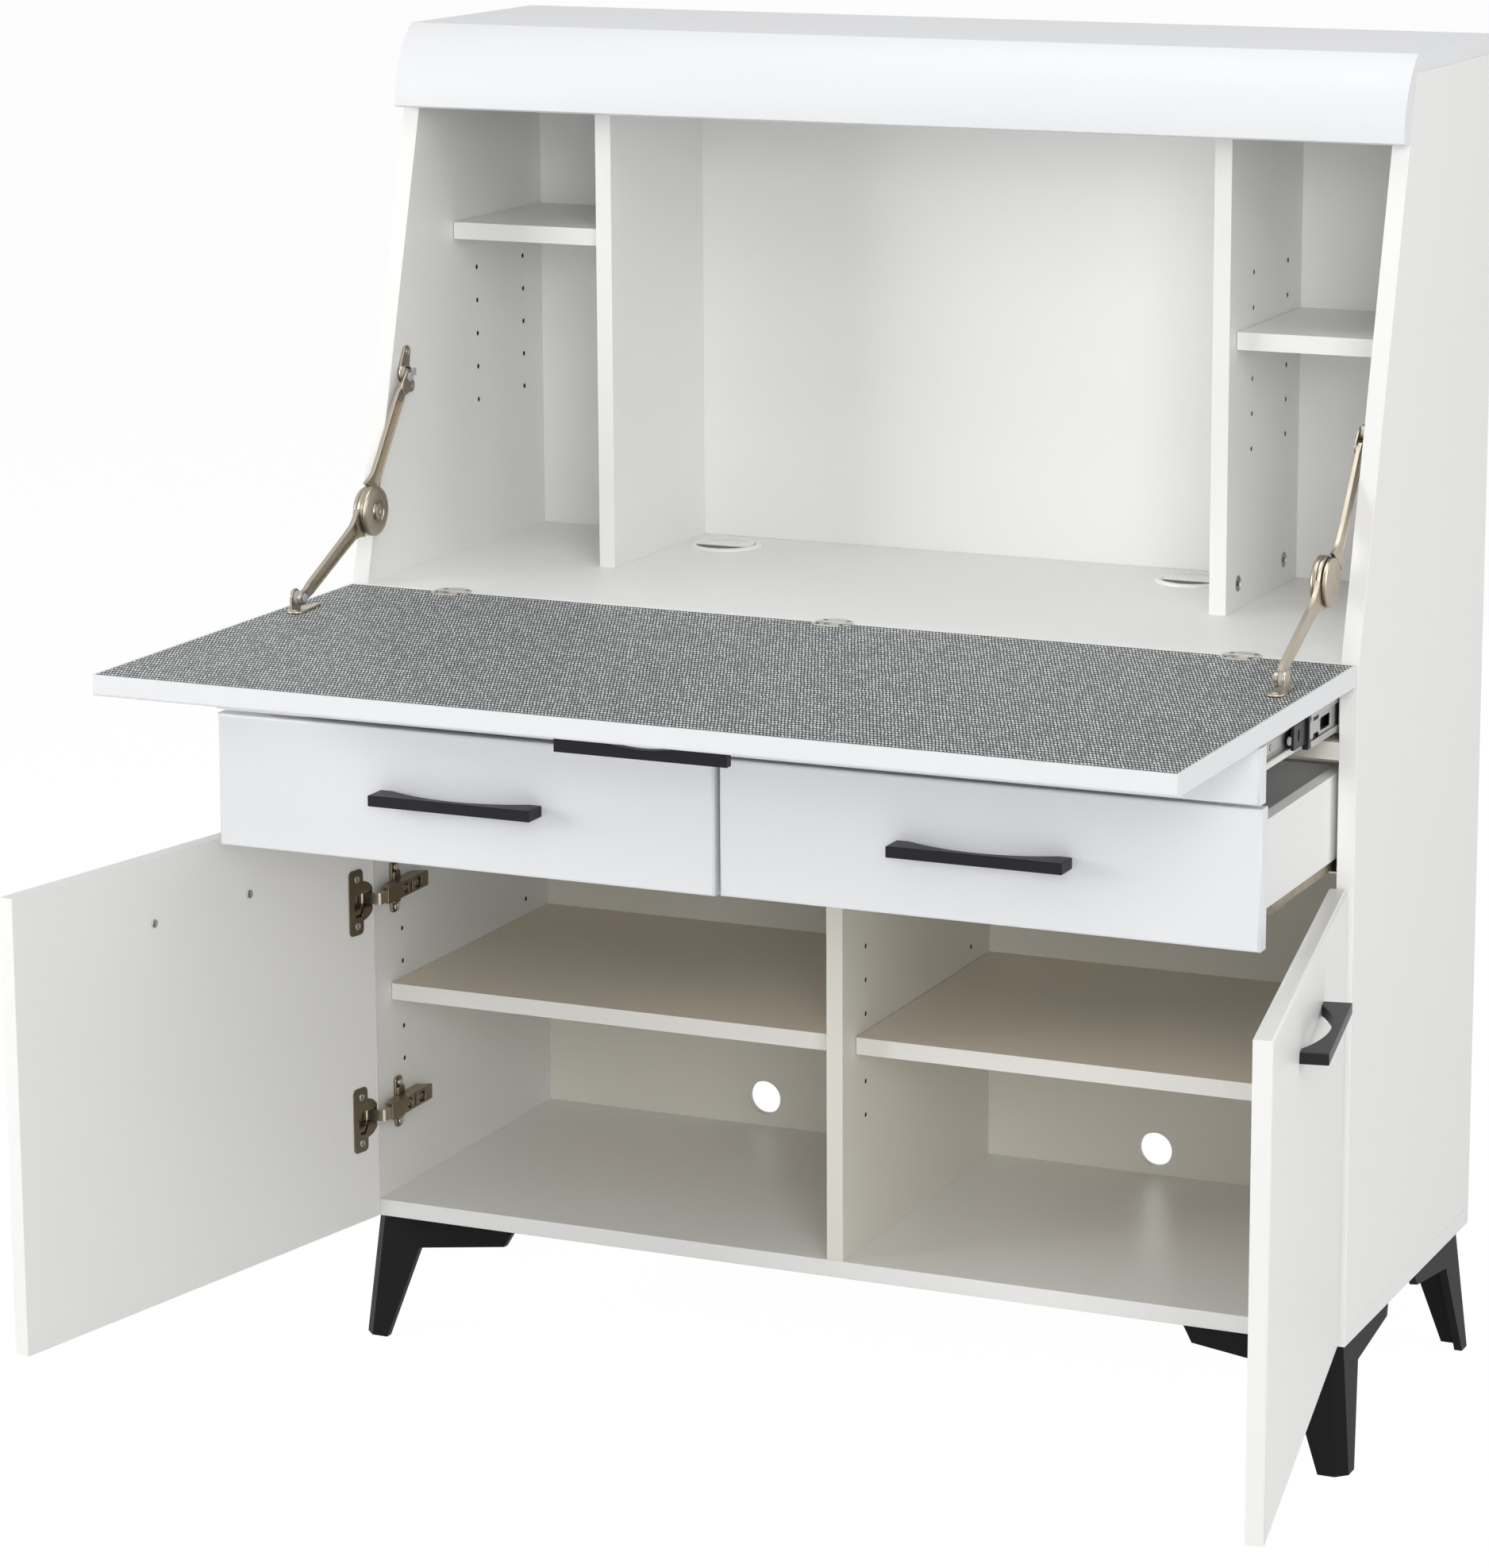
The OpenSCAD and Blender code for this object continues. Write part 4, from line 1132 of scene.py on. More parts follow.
@dataclass
class Carcass:
    """Fixed boards, their pins and cam fittings, the grommets and the legs."""

    shop: Workshop
    divider_x: float = 311.5
    middle_x: float = 8.0
    upper_ys: Point2 = (229.0, 326.0)
    lower_ys: Point2 = (54.0, 313.0)
    upper_shelf_zs: Point2 = (912.5, 848.5)
    low_shelf_z: float = 205.0
    wall_rows: tuple[float, int] = (269.0, 5)
    middle_rows: tuple[float, int] = (301.0, 6)
    cam_z: float = 634.5
    cam_ys: Point2 = (197.5, 328.0)
    grommets: tuple[Point2, Point2] = ((-249.0, 313.0), (228.0, 313.0))
    cap_radius: float = 27.6
    cap_opening: float = 9.0

    def boards(self) -> None:
        """Dresses the fixed boards."""
        p = self.shop.palette
        rows = (
            (p.carcass, OUTER_EDGE, "side_panel_left side_panel_right bottom_board"),
            (p.white, OUTER_EDGE, "top_board fascia"),
            (p.inner, BOARD_EDGE, "worktop upper_divider_left upper_divider_right "
                                  "upper_shelf_left upper_shelf_right back_panel_upper"),
            # Lower boards and shelves take darker, warmer copies of the inner board: painted shade.
            (p.lower, BOARD_EDGE, "front_rail lower_divider back_panel_lower"),
            (p.shelf, BOARD_EDGE, "lower_shelf_left lower_shelf_right"))
        for coat, edge, nodes in rows:
            for node in nodes.split():
                node_piece(f"board_{node}", node, "cabinet", coat, edge)

    def holes(self, x: float, facing: int, ys: Point2, zs: Iterable[float],
              taken: float) -> list[Spot]:
        """Places where shelf pins could go.

        Args:
            x: face that the holes are in.
            facing: direction of that face along X.
            ys: the columns of holes.
            zs: the rows of holes.
            taken: a row that a shelf takes and that is left out.

        Returns:
            The places.
        """
        return [Spot((x, y, z), (float(facing), 0.0, 0.0)) for z in zs for y in ys
                if abs(z - taken) > 1]

    def pins(self) -> None:
        """Puts a shelf pin in each hole that carries a shelf."""
        right: list[Spot] = []
        left: list[Spot] = []
        shelves = [(s, self.divider_x, self.upper_ys, z) for s, z in zip(BOTH, self.upper_shelf_zs)]
        shelves += [(s, self.middle_x, self.lower_ys, self.low_shelf_z) for s in BOTH]
        for side, x, ys, z in shelves:
            wall, other = (right, left) if side < 0 else (left, right)
            wall += self.holes(side * WALL_X, -side, ys, [z], 0.0)
            other += self.holes(side * x, side, ys, [z], 0.0)
        zinc = self.shop.palette.zinc
        self.shop.lay("shelf_pins_facing_right", shelf_pin(), right, "cabinet", zinc, "shelf_pins")
        turned = shelf_pin().moved(Matrix.Scale(-1, 4, (1, 0, 0)))
        self.shop.lay("shelf_pins_facing_left", turned, left, "cabinet", zinc)

    def linings(self) -> None:
        """Lines the empty pin holes with the board's raw brown inside, darkened with painted shade.
        """
        spots: list[Spot] = []
        for side, taken in zip(BOTH, self.upper_shelf_zs):
            for k in range(6):
                for x, facing in ((WALL_X, -side), (self.divider_x, side)):
                    spots += self.holes(side * x, facing, self.upper_ys,
                                        [self.upper_shelf_zs[0] - HOLE_PITCH * k], taken)
            for x, facing, (top, rows) in ((WALL_X, -side, self.wall_rows),
                                           (self.middle_x, side, self.middle_rows)):
                spots += self.holes(side * x, facing, self.lower_ys,
                                    [top - HOLE_PITCH * k for k in range(rows)], self.low_shelf_z)
        cup = [(0.0, -7.5), (2.44, -7.5), (2.44, -0.3), (2.15, -0.3), (2.15, -7.0), (0.0, -7.0)]
        self.shop.lay("pin_hole_linings", Shell().lathe(cup, Axis.Z, (0, 0), 16), spots, "cabinet",
                      self.shop.palette.core)

    def cams(self) -> None:
        """Puts the cam fittings in the outer faces of the upper dividers."""
        spots = [Spot((self.divider_x, y, self.cam_z), (1.0, 0.0, 0.0), 45.0) for y in self.cam_ys]
        self.shop.lay("cam_fittings_round", cam(7.4), both_sides(spots), "cabinet",
                      self.shop.palette.zinc, "cam_fittings")

    def grommet_rings(self) -> None:
        """Sets a flanged ring with a turning cap, open at its front, in each cable outlet."""
        profile = [(28.0, -16.0), (29.9, -16.0), (29.9, 0.0), (35.0, 0.0), (35.0, 1.0), (34.4, 1.9),
                   (33.2, 2.5), (30.0, 2.5), (29.0, 1.8), (28.3, 0.8), (28.0, -0.6)]
        ring = Shell().lathe(profile, Axis.Z, (0, 0), 72)
        chord = math.degrees(math.asin(self.cap_opening / self.cap_radius))
        ring.plate(arc(0, 0, self.cap_radius, -chord, 180 + chord, 49), Axis.Z, 1.0, 2.3, 0.4)
        ring.lathe([(26.4, -9.0), (28.1, -9.0), (28.1, -7.6), (26.4, -7.6)], Axis.Z, (0, 0), 64)
        self.shop.lay("grommet_rings", ring, [Spot((*g, WORKTOP_Z)) for g in self.grommets],
                      "cabinet", self.shop.palette.grommet, "cable_grommets")

    def legs(self) -> None:
        """Dresses the four splayed legs."""
        for node in ("leg_front_left", "leg_front_right", "leg_back_left", "leg_back_right"):
            node_piece(f"splayed_{node}", node, "cabinet", self.shop.palette.leg, 1.0, 4.0)

    def build(self) -> None:
        """Builds and dresses everything fixed except the hinge and slide parts."""
        self.boards()
        self.pins()
        self.linings()
        self.cams()
        self.grommet_rings()
        self.legs()


@dataclass
class BowHandle:
    """Bar handle with a straight front edge and an arched inner side."""

    length: float = 157.0
    depth: float = 24.0
    thickness: float = 10.0
    foot: float = 12.0
    bar: float = 8.0

    def shell(self) -> Shell:
        """The handle standing off -Y from the origin.

        Returns:
            The handle, its length along X.
        """
        half = self.length / 2
        span = half - self.foot
        sag = self.depth - self.bar
        radius = (span * span + sag * sag) / (2 * sag)
        reach = math.degrees(math.asin(span / radius))
        outline = [(-half, 0.0), (-half, -self.depth), (half, -self.depth), (half, 0.0)]
        outline += arc(0, radius - sag, radius, 270 + reach, 270 - reach, 33)
        return Shell().plate(outline, Axis.Z, -self.thickness / 2, self.thickness / 2, 0.9)


@dataclass
class Flap:
    """Drop flap with its laminate, handle and round hinges."""

    shop: Workshop
    hinge_xs: tuple[float, float, float] = (-382.0, 0.0, 382.0)
    thickness: float = 18.6
    handle_y: float = -397.0

    def build(self) -> None:
        """Builds and dresses the flap."""
        p = self.shop.palette
        node_piece("flap_panel", "flap_board", "flap", p.white, OUTER_EDGE)
        node_piece("flap_writing_sheet", "flap_laminate", "flap", p.laminate, 0.15)
        under = Matrix.Translation((0, self.handle_y, WORKTOP_Z - self.thickness))
        turned = BowHandle().shell().moved(under @ Matrix.Rotation(math.radians(90), 4, "X"))
        shell_piece("flap_bow_handle", turned, "flap", p.handle, "flap_handle")
        node_piece("flap_hinge_discs", "flap_hinge_cups", "flap", p.satin, THIN_EDGE, 3.0)
        node_piece("worktop_hinge_discs", "flap_hinge_fixed", "cabinet", p.satin, THIN_EDGE, 3.0)
        self.screws("flap_hinge_screws", 11.5, -11.0, "flap")
        self.screws("worktop_hinge_screws", 11.0, 8.0, "cabinet")
        # Dark strips beside each hinge knuckle are painted shade of the gap between the hinge's
        # parts.
        shell_piece("flap_hinge_seams", self.seams(), "flap", p.core.filed(Slot.NICKEL))

    def screws(self, name: str, reach: float, y: float, body: str) -> None:
        """Puts two sunk screws in one half of each hinge, darkened as painted shade of their holes.
        """
        spots = [Spot((x + k * reach, y, WORKTOP_Z - 0.9)) for x in self.hinge_xs for k in BOTH]
        # Near-black screw heads: painted shade of their sunk holes; the screws are zinc.
        self.shop.lay(name, screw(2.3, 0.7), spots, body, self.shop.palette.core.filed(Slot.ZINC))

    def seams(self) -> Shell:
        """Dark bent strips beside each flap hinge's knuckle: painted shade of the gap in it.

        Returns:
            The painted shade as thin raised strips.
        """
        shell = Shell()
        line = [(8.0, -6.4), (11.5, -8.6), (15.0, -5.2)]
        for x in self.hinge_xs:
            for side in BOTH:
                rear = [(x + side * a, b + 0.7) for a, b in line]
                front = [(x + side * a, b - 0.7) for a, b in reversed(line)]
                shell.plate(rear + front, Axis.Z, WORKTOP_Z - 0.3, WORKTOP_Z + 0.08)
        return shell


# ---------------------------------------------------------------- folding stays


@dataclass
class FoldingStays:
    """Friction stays of two arms with a brake disc, from feet on the flap to side brackets."""

    shop: Workshop
    foot_pivot: Point2 = (-140.0, 623.5)
    knuckle: Point2 = (-11.6, 682.6)
    top_pivot: Point2 = (71.0, 796.0)
    disc_in: float = 451.4
    split: float = 458.2
    middle_out: float = 462.9
    upper_span: Point2 = (463.3, 467.4)
    eye_span: Point2 = (460.9, 463.1)
    bracket_holes: tuple[Point2, Point2] = ((81.5, 817.5), (89.0, 785.0))

    def arm(self, start: Point2, low: float, high: float, eye: Point2 | None = None) -> Shell:
        """Pressed channel arm from an eye to the knuckle, flared where it meets the disc.

        Args:
            start: eye of the arm in the stay's plane.
            low: inner face along X.
            high: outer face along X.
            eye: start and end along X of a flat eye that steps inwards from the channel.

        Returns:
            The arm in place.
        """
        end = self.knuckle
        length = math.dist(start, end)
        near = [(9.0, 5.0), (20.0, 6.8)] if eye else [(3.0, 5.4), (9.0, 5.2), (15.0, 6.2)]
        outline = lens(near + [(length - 52, 7.0), (length - 36, 7.8), (length - 28, 10.6),
                               (length - 20, 15.4)])
        recess = lens([(24.0 if eye else 18.0, 4.4), (length - 50, 5.1), (length - 34, 5.8),
                       (length - 29, 6.6)])
        shell = Shell().plate(outline, Axis.X, low, high, 0.6, holes=[recess])
        shell.plate(inset(wound(recess), -0.4), Axis.X, high - 1.6, high - 0.3)
        if eye:
            leaf = hull(circle(0, 0, 6.8, 40) + circle(10.0, 0.0, 8.0, 32))
            shell.plate(leaf, Axis.X, eye[0], eye[1], 0.7)
            step = [(eye[1] - 0.1, 11.0), (eye[0] + 0.1, 11.0), (low + 0.1, 19.0),
                    (low + 0.1, 23.0), (low + 2.3, 23.0), (low + 2.3, 12.0)]
            shell.plate(step, Axis.Z, -6.0, 6.0, 0.6)
        turn = math.atan2(end[1] - start[1], end[0] - start[0])
        place = Matrix.Translation((0, start[0], start[1])) @ Matrix.Rotation(turn, 4, "X")
        return shell.moved(place)

    def lower_arm(self) -> Shell:
        """Lower arm with its eye, the outer brake disc and the hub.

        Returns:
            The arm for the right side.
        """
        x0, x1 = self.split + 0.4, self.split + 4.8
        out, tip = self.middle_out, self.disc_in
        shell = self.arm(self.foot_pivot, x0, x1)
        eye = [(3.1, x0), (5.8, x0), (6.5, x0 + 0.6), (6.5, x1 - 0.6), (5.8, x1), (3.1, x1)]
        shell.lathe(eye, Axis.X, self.foot_pivot)
        disc = [(0, x0), (22.4, x0), (23, x0 + 0.6), (23, out - 2.6), (22.3, out - 1.0),
                (20.6, out - 0.2), (10, out), (9.4, out - 0.5), (8.6, out - 0.5), (8.0, out),
                (0, out)]
        shell.lathe(disc, Axis.X, self.knuckle, 64)
        hub = [(0, tip + 0.2), (1.7, tip + 0.2), (2.2, tip - 1.2), (4.0, tip - 1.6),
               (6.9, tip - 1.2), (7.4, tip - 0.7), (7.4, tip - 0.1), (3.9, tip - 0.1),
               (3.9, x0 + 0.5), (0, x0 + 0.5)]
        return shell.lathe(hub, Axis.X, self.knuckle, 32)

    def upper_arm(self) -> Shell:
        """Upper arm with its cranked eye, the outer disc and the inner brake disc.

        Returns:
            The arm for the right side.
        """
        low, high = self.upper_span
        x1, tip = self.split, self.disc_in
        shell = self.arm(self.top_pivot, low, high, self.eye_span)
        outer = [(0, low), (21.0, low), (21.6, low + 0.6), (21.6, high - 1.4), (20.8, high - 0.5),
                 (19.0, high), (0, high)]
        shell.lathe(outer, Axis.X, self.knuckle, 64)
        inner = [(4.05, tip + 0.3), (8.0, tip + 0.1), (8.7, tip + 1.6), (10.0, tip + 1.6),
                 (10.8, tip), (15.0, tip + 0.1), (19.5, tip + 0.7), (22.0, tip + 1.7),
                 (23.0, tip + 3.0), (23.0, tip + 4.1), (22.5, tip + 4.3), (22.5, tip + 4.6),
                 (23.0, tip + 4.8), (23.0, x1 - 0.4), (22.6, x1), (4.05, x1)]
        return shell.lathe(inner, Axis.X, self.knuckle, 64)

    def bracket(self) -> tuple[Shell, Shell, list[Spot]]:
        """Shapes the bracket on the side panel for the right side.

        Returns:
            The pressed plate with its cup, the plastic bush with its cap, and the screws' places.
        """
        top, bottom = self.bracket_holes
        y, z = self.top_pivot
        face = WALL_X - 2.6
        lobe = circle(y + 3.5, z + 3.0, 9.5, 32)
        plate = Shell().plate(hull(circle(*top, 6.2, 24) + lobe), Axis.X, face, WALL_X, 0.7)
        plate.plate(hull(circle(*bottom, 6.2, 24) + lobe), Axis.X, face + 0.05, WALL_X, 0.65)
        rim = face - 4.4
        cup = [(6.3, rim + 0.5), (6.9, rim), (7.6, rim), (8.3, rim + 0.7), (8.3, face - 0.8),
               (9.0, face + 0.2), (6.3, face + 0.2)]
        plate.lathe(cup, Axis.X, (y + 2.5, z + 2.5), 40)
        eye_in, eye_out = self.eye_span
        sleeve = [(0, eye_out + 0.2), (5.2, eye_out + 0.2), (5.8, eye_out + 0.8),
                  (5.8, face - 0.1), (0, face - 0.1)]
        bush = Shell().lathe(sleeve, Axis.X, (y + 1.5, z + 1.5), 32)
        tip = eye_in - 2.3
        cap = [(0, tip + 0.7), (1.5, tip + 0.7), (1.9, tip + 0.1), (3.5, tip), (4.2, tip + 0.6),
               (4.4, eye_in - 0.1), (0, eye_in - 0.1)]
        bush.lathe(cap, Axis.X, (y, z), 32)
        bush.plate(rectangle(y + 2.0, z + 0.4, y + 10.5, z + 7.4, 1.4), Axis.X, tip + 0.6,
                   eye_in - 0.2, 0.5)
        return plate, bush, [Spot((face, *p), (-1.0, 0.0, 0.0)) for p in self.bracket_holes]

    def foot(self) -> tuple[Shell, Shell, list[Spot]]:
        """Shapes the foot on the flap for the right side.

        Returns:
            The base and lug, the pivot's washers, and the screw's place.
        """
        mid_x, lug_x, split = WALL_X - 8.5, WALL_X - 4.0, self.split
        y, z = self.foot_pivot
        front, back = y - 9, y + 28
        outline = hull(circle(mid_x, front, 8.1, 36) + circle(mid_x, back, 4, 20))
        base = Shell().plate(outline, Axis.Z, WORKTOP_Z, WORKTOP_Z + 2.4, 0.9,
                             holes=[circle(mid_x, back - 6, 1.8, 16)])
        lug = [(y - 8, WORKTOP_Z + 1.0), (y + 8, WORKTOP_Z + 1.0)] + arc(y, z, 8.0, 0, 180, 19)
        base.plate(lug, Axis.X, lug_x, lug_x + 2.6, 0.6)
        pin = [(0, split - 0.9), (2.2, split - 0.9), (2.9, split - 0.4), (2.9, lug_x + 1),
               (0, lug_x + 1)]
        base.lathe(pin, Axis.X, self.foot_pivot, 28)
        outer = [(3.0, split + 4.9), (6.2, split + 4.9), (6.2, lug_x - 0.1), (3.0, lug_x - 0.1)]
        washer = Shell().lathe(outer, Axis.X, self.foot_pivot, 32)
        inner = [(0, split - 1.0), (0, split - 1.4), (3.2, split - 1.3), (4.0, split - 0.6),
                 (4.0, split + 0.3), (2.8, split + 0.3)]
        washer.lathe(inner, Axis.X, self.foot_pivot, 28)
        return base, washer, [Spot((mid_x, front - 3, WORKTOP_Z + 2.2))]

    def build(self) -> None:
        """Builds and dresses both stays, their brackets and their feet."""
        p = self.shop.palette
        for side in Side:
            for arm, shell in (("lower", self.lower_arm()), ("upper", self.upper_arm())):
                body = f"stay_{arm}_{side.word}"
                shell_piece(f"stay_{arm}_arm_{side.word}", shell.mirrored(side.value), body,
                            p.nickel, body)
        plate, bush, fixed = self.bracket()
        base, washer, moving = self.foot()
        shell_piece("stay_bracket_plates", plate.paired(), "cabinet", p.nickel, "stay_brackets")
        shell_piece("stay_bracket_bushes", bush.paired(), "cabinet", p.grey)
        shell_piece("stay_foot_plates", base.paired(), "flap", p.nickel, "stay_feet")
        shell_piece("stay_foot_washers", washer.paired(), "flap", p.grey)
        self.shop.lay("stay_bracket_screws", screw(3.4, 0.85), both_sides(fixed), "cabinet", p.zinc)
        self.shop.lay("stay_foot_screws", screw(3.2, 1.1), both_sides(moving), "flap", p.zinc)


# ---------------------------------------------------------------- tray and drawers


@dataclass
class Tray:
    """Pull-out tray on ball slides. Shapes are for the right side."""

    shop: Workshop
    out: float = 238.0
    slide_z: float = 567.0
    box_x: float = 458.0

    @property
    def middle_y(self) -> float:
        """Where the middle members' own zero lies: half the tray's travel in front of 20 mm."""
        return 20 - self.out / 2

    def inner_member(self) -> Shell:
        """Member screwed to the tray: a web with rolled edges.

        Returns:
            The member.
        """
        y0, y1, x = -self.out, 62.0, self.box_x
        lo, hi = self.slide_z - 9.4, self.slide_z + 9.4
        shell = Shell().plate(rectangle(y0, lo, y1, hi, 0.6), Axis.X, x, x + 1.2, 0.3, steps=2)
        for a, b in ((lo, lo + 1.4), (hi - 1.4, hi)):
            shell.plate(rectangle(x + 0.2, a, x + 5.0, b, 0.6), Axis.Y, y0, y1)
        for a, b in ((lo + 3.4, lo + 4.4), (hi - 4.4, hi - 3.4)):
            shell.plate(rectangle(x + 0.6, a, x + 1.9, b, 0.45), Axis.Y, y0, y1)
        return shell

    def middle_member(self) -> Shell:
        """Sliding member: two bent bands and a recessed web with windows and notches.

        Returns:
            The member.
        """
        y0, y1 = self.middle_y + 27, 290 - self.out / 2
        x, z = WALL_X, self.slide_z
        windows = [rectangle(y0 + 29 + k * 58, z - 6.4, y0 + 56 + k * 58, z + 4.6, 2.4)
                   for k in range(4)]
        notch = [(y0 + 8, 11.6), (y0 + 11, 5.6), (y0 + 23, 5.6), (y0 + 27, 11.6)]
        windows += [[(a, z + b) for a, b in notch], [(a, z - b) for a, b in notch]]
        shell = Shell().plate(rectangle(y0, z - 12.4, y1, z + 12.4, 0.8), Axis.X, x - 4.6, x - 3.4,
                              0.25, windows, 2)
        for k in BOTH:
            lo, hi = sorted((z + k * 9.8, z + k * 15.6))
            shell.plate(rectangle(y0, lo, y1, hi, 1.0), Axis.X, x - 2.9, x - 1.8, 0.3, steps=2)
            lo, hi = sorted((z + k * 14.2, z + k * 15.6))
            shell.plate(rectangle(x - 10.4, lo, x - 2.0, hi, 0.5), Axis.Y, y0, y1)
        return shell

    def end_block(self) -> tuple[Shell, Shell]:
        """Shapes the stop at the front of the middle member.

        Returns:
            The black stop, and its pale roller and slot.
        """
        y0, x, z = self.middle_y - 11, WALL_X, self.slide_z
        slot = rectangle(y0 + 11.2, z - 4.6, y0 + 15.2, z + 5.2, 1.8)
        block = Shell().plate(rectangle(y0, z - 10.8, y0 + 34, z + 10.8, 1.6), Axis.X, x - 7.8,
                              x - 4.8, 0.5, [slot])
        trim = [(y0 + 31, -15.8), (y0 + 38, -15.8), (y0 + 39.5, -9), (y0 + 36, -6), (y0 + 36, 6),
                (y0 + 39.5, 9), (y0 + 38, 15.8), (y0 + 31, 15.8), (y0 + 33, 8), (y0 + 33, -8)]
        block.plate([(a, z + b) for a, b in trim], Axis.X, x - 7.8, x - 2.2, 0.6)
        pale = Shell().plate(rectangle(y0 + 11, z - 5.4, y0 + 15.4, z + 6.0, 1.6), Axis.X, x - 7.4,
                             x - 6.6, 0.2)
        roller = [(0.0, x - 9.3), (3.2, x - 9.3), (3.8, x - 8.8), (3.8, x - 7.4), (3.2, x - 6.9),
                  (0.0, x - 6.9)]
        return block, pale.lathe(roller, Axis.X, (y0 - 2.0, z - 2.0), 24)

    def cage(self) -> Shell:
        """Dark ball cage behind the windows of the middle member.

        Returns:
            The cage.
        """
        y0, x, z = self.middle_y + 30, WALL_X, self.slide_z
        shell = Shell().plate(rectangle(y0, z - 7.7, y0 + 76, z + 7.7, 1.0), Axis.X, x - 10.2,
                              x - 9.2, 0.2)
        for k in BOTH:
            lo, hi = sorted((z + k * 9.9, z + k * 13.2))
            shell.plate(rectangle(x - 9.8, lo, x - 6.2, hi, 0.7), Axis.Y, y0, y0 + 76)
        return shell

    def build(self) -> None:
        """Builds and dresses the tray and the ball slides of both sides."""
        p = self.shop.palette
        node_piece("tray_front_board", "tray_front", "tray", p.white)
        node_piece("tray_box_boards", "tray_box", "tray", p.inner)
        node_piece("tray_base_board", "tray_bottom", "tray", p.inner, THIN_EDGE)
        node_piece("slide_outer_members", "tray_rails_fixed", "cabinet", p.zinc, 0.3)
        shell_piece("slide_inner_members", self.inner_member().paired(), "tray", p.zinc,
                    "tray_rails_inner")
        shell_piece("slide_middle_members", self.middle_member().paired(), "tray_slides", p.zinc,
                    "tray_rails_middle")
        block, pale = self.end_block()
        shell_piece("slide_end_blocks", block.paired(), "tray_slides", p.black)
        shell_piece("slide_end_rollers", pale.paired(), "tray_slides", p.grey)
        shell_piece("slide_ball_cages", self.cage().paired(), "tray_slides", p.black)
        starts = [(s * (WALL_X - 7.6), self.middle_y + 34, self.slide_z + k * 11.4)
                  for s in BOTH for k in BOTH]
        self.shop.roll("slide_balls", starts, 13, 5.6, 1.9, "tray_slides", p.zinc)
        screws = [Spot((self.box_x + 1.2, y, self.slide_z), (1.0, 0.0, 0.0), 30.0)
                  for y in (-205.0, -150.0)]
        self.shop.lay("slide_inner_screws", screw(3.0, 0.9), both_sides(screws), "tray", p.zinc)


@dataclass
class Drawer:
    """Drawer with its front, box, handle and under-mount rails."""

    shop: Workshop
    side: Side
    out: float
    front_x: Point2 = (1.5, 485.5)
    front_z: Point2 = (418.0, 538.0)

    def build(self) -> None:
        """Builds and dresses the drawer."""
        p, word, body = self.shop.palette, self.side.word, f"drawer_{self.side.word}"
        node_piece(f"drawer_front_board_{word}", f"drawer_front_{word}", body, p.white)
        node_piece(f"drawer_box_boards_{word}", f"drawer_box_{word}", body, p.inner)
        node_piece(f"drawer_base_board_{word}", f"drawer_bottom_{word}", body, p.inner, THIN_EDGE)
        # The rails are zinc; the darker hinge finish on them is painted shade under the drawer.
        node_piece(f"drawer_under_rails_{word}", f"drawer_rails_{word}", body,
                   p.bronze.filed(Slot.ZINC), 0.3)
        middle = self.side.value * sum(self.front_x) / 2
        place = Matrix.Translation((middle, FRONT_Y - self.out, sum(self.front_z) / 2))
        shell_piece(f"drawer_bow_handle_{word}", BowHandle().shell().moved(place), body, p.handle,
                    f"drawer_handle_{word}")


# ---------------------------------------------------------------- doors


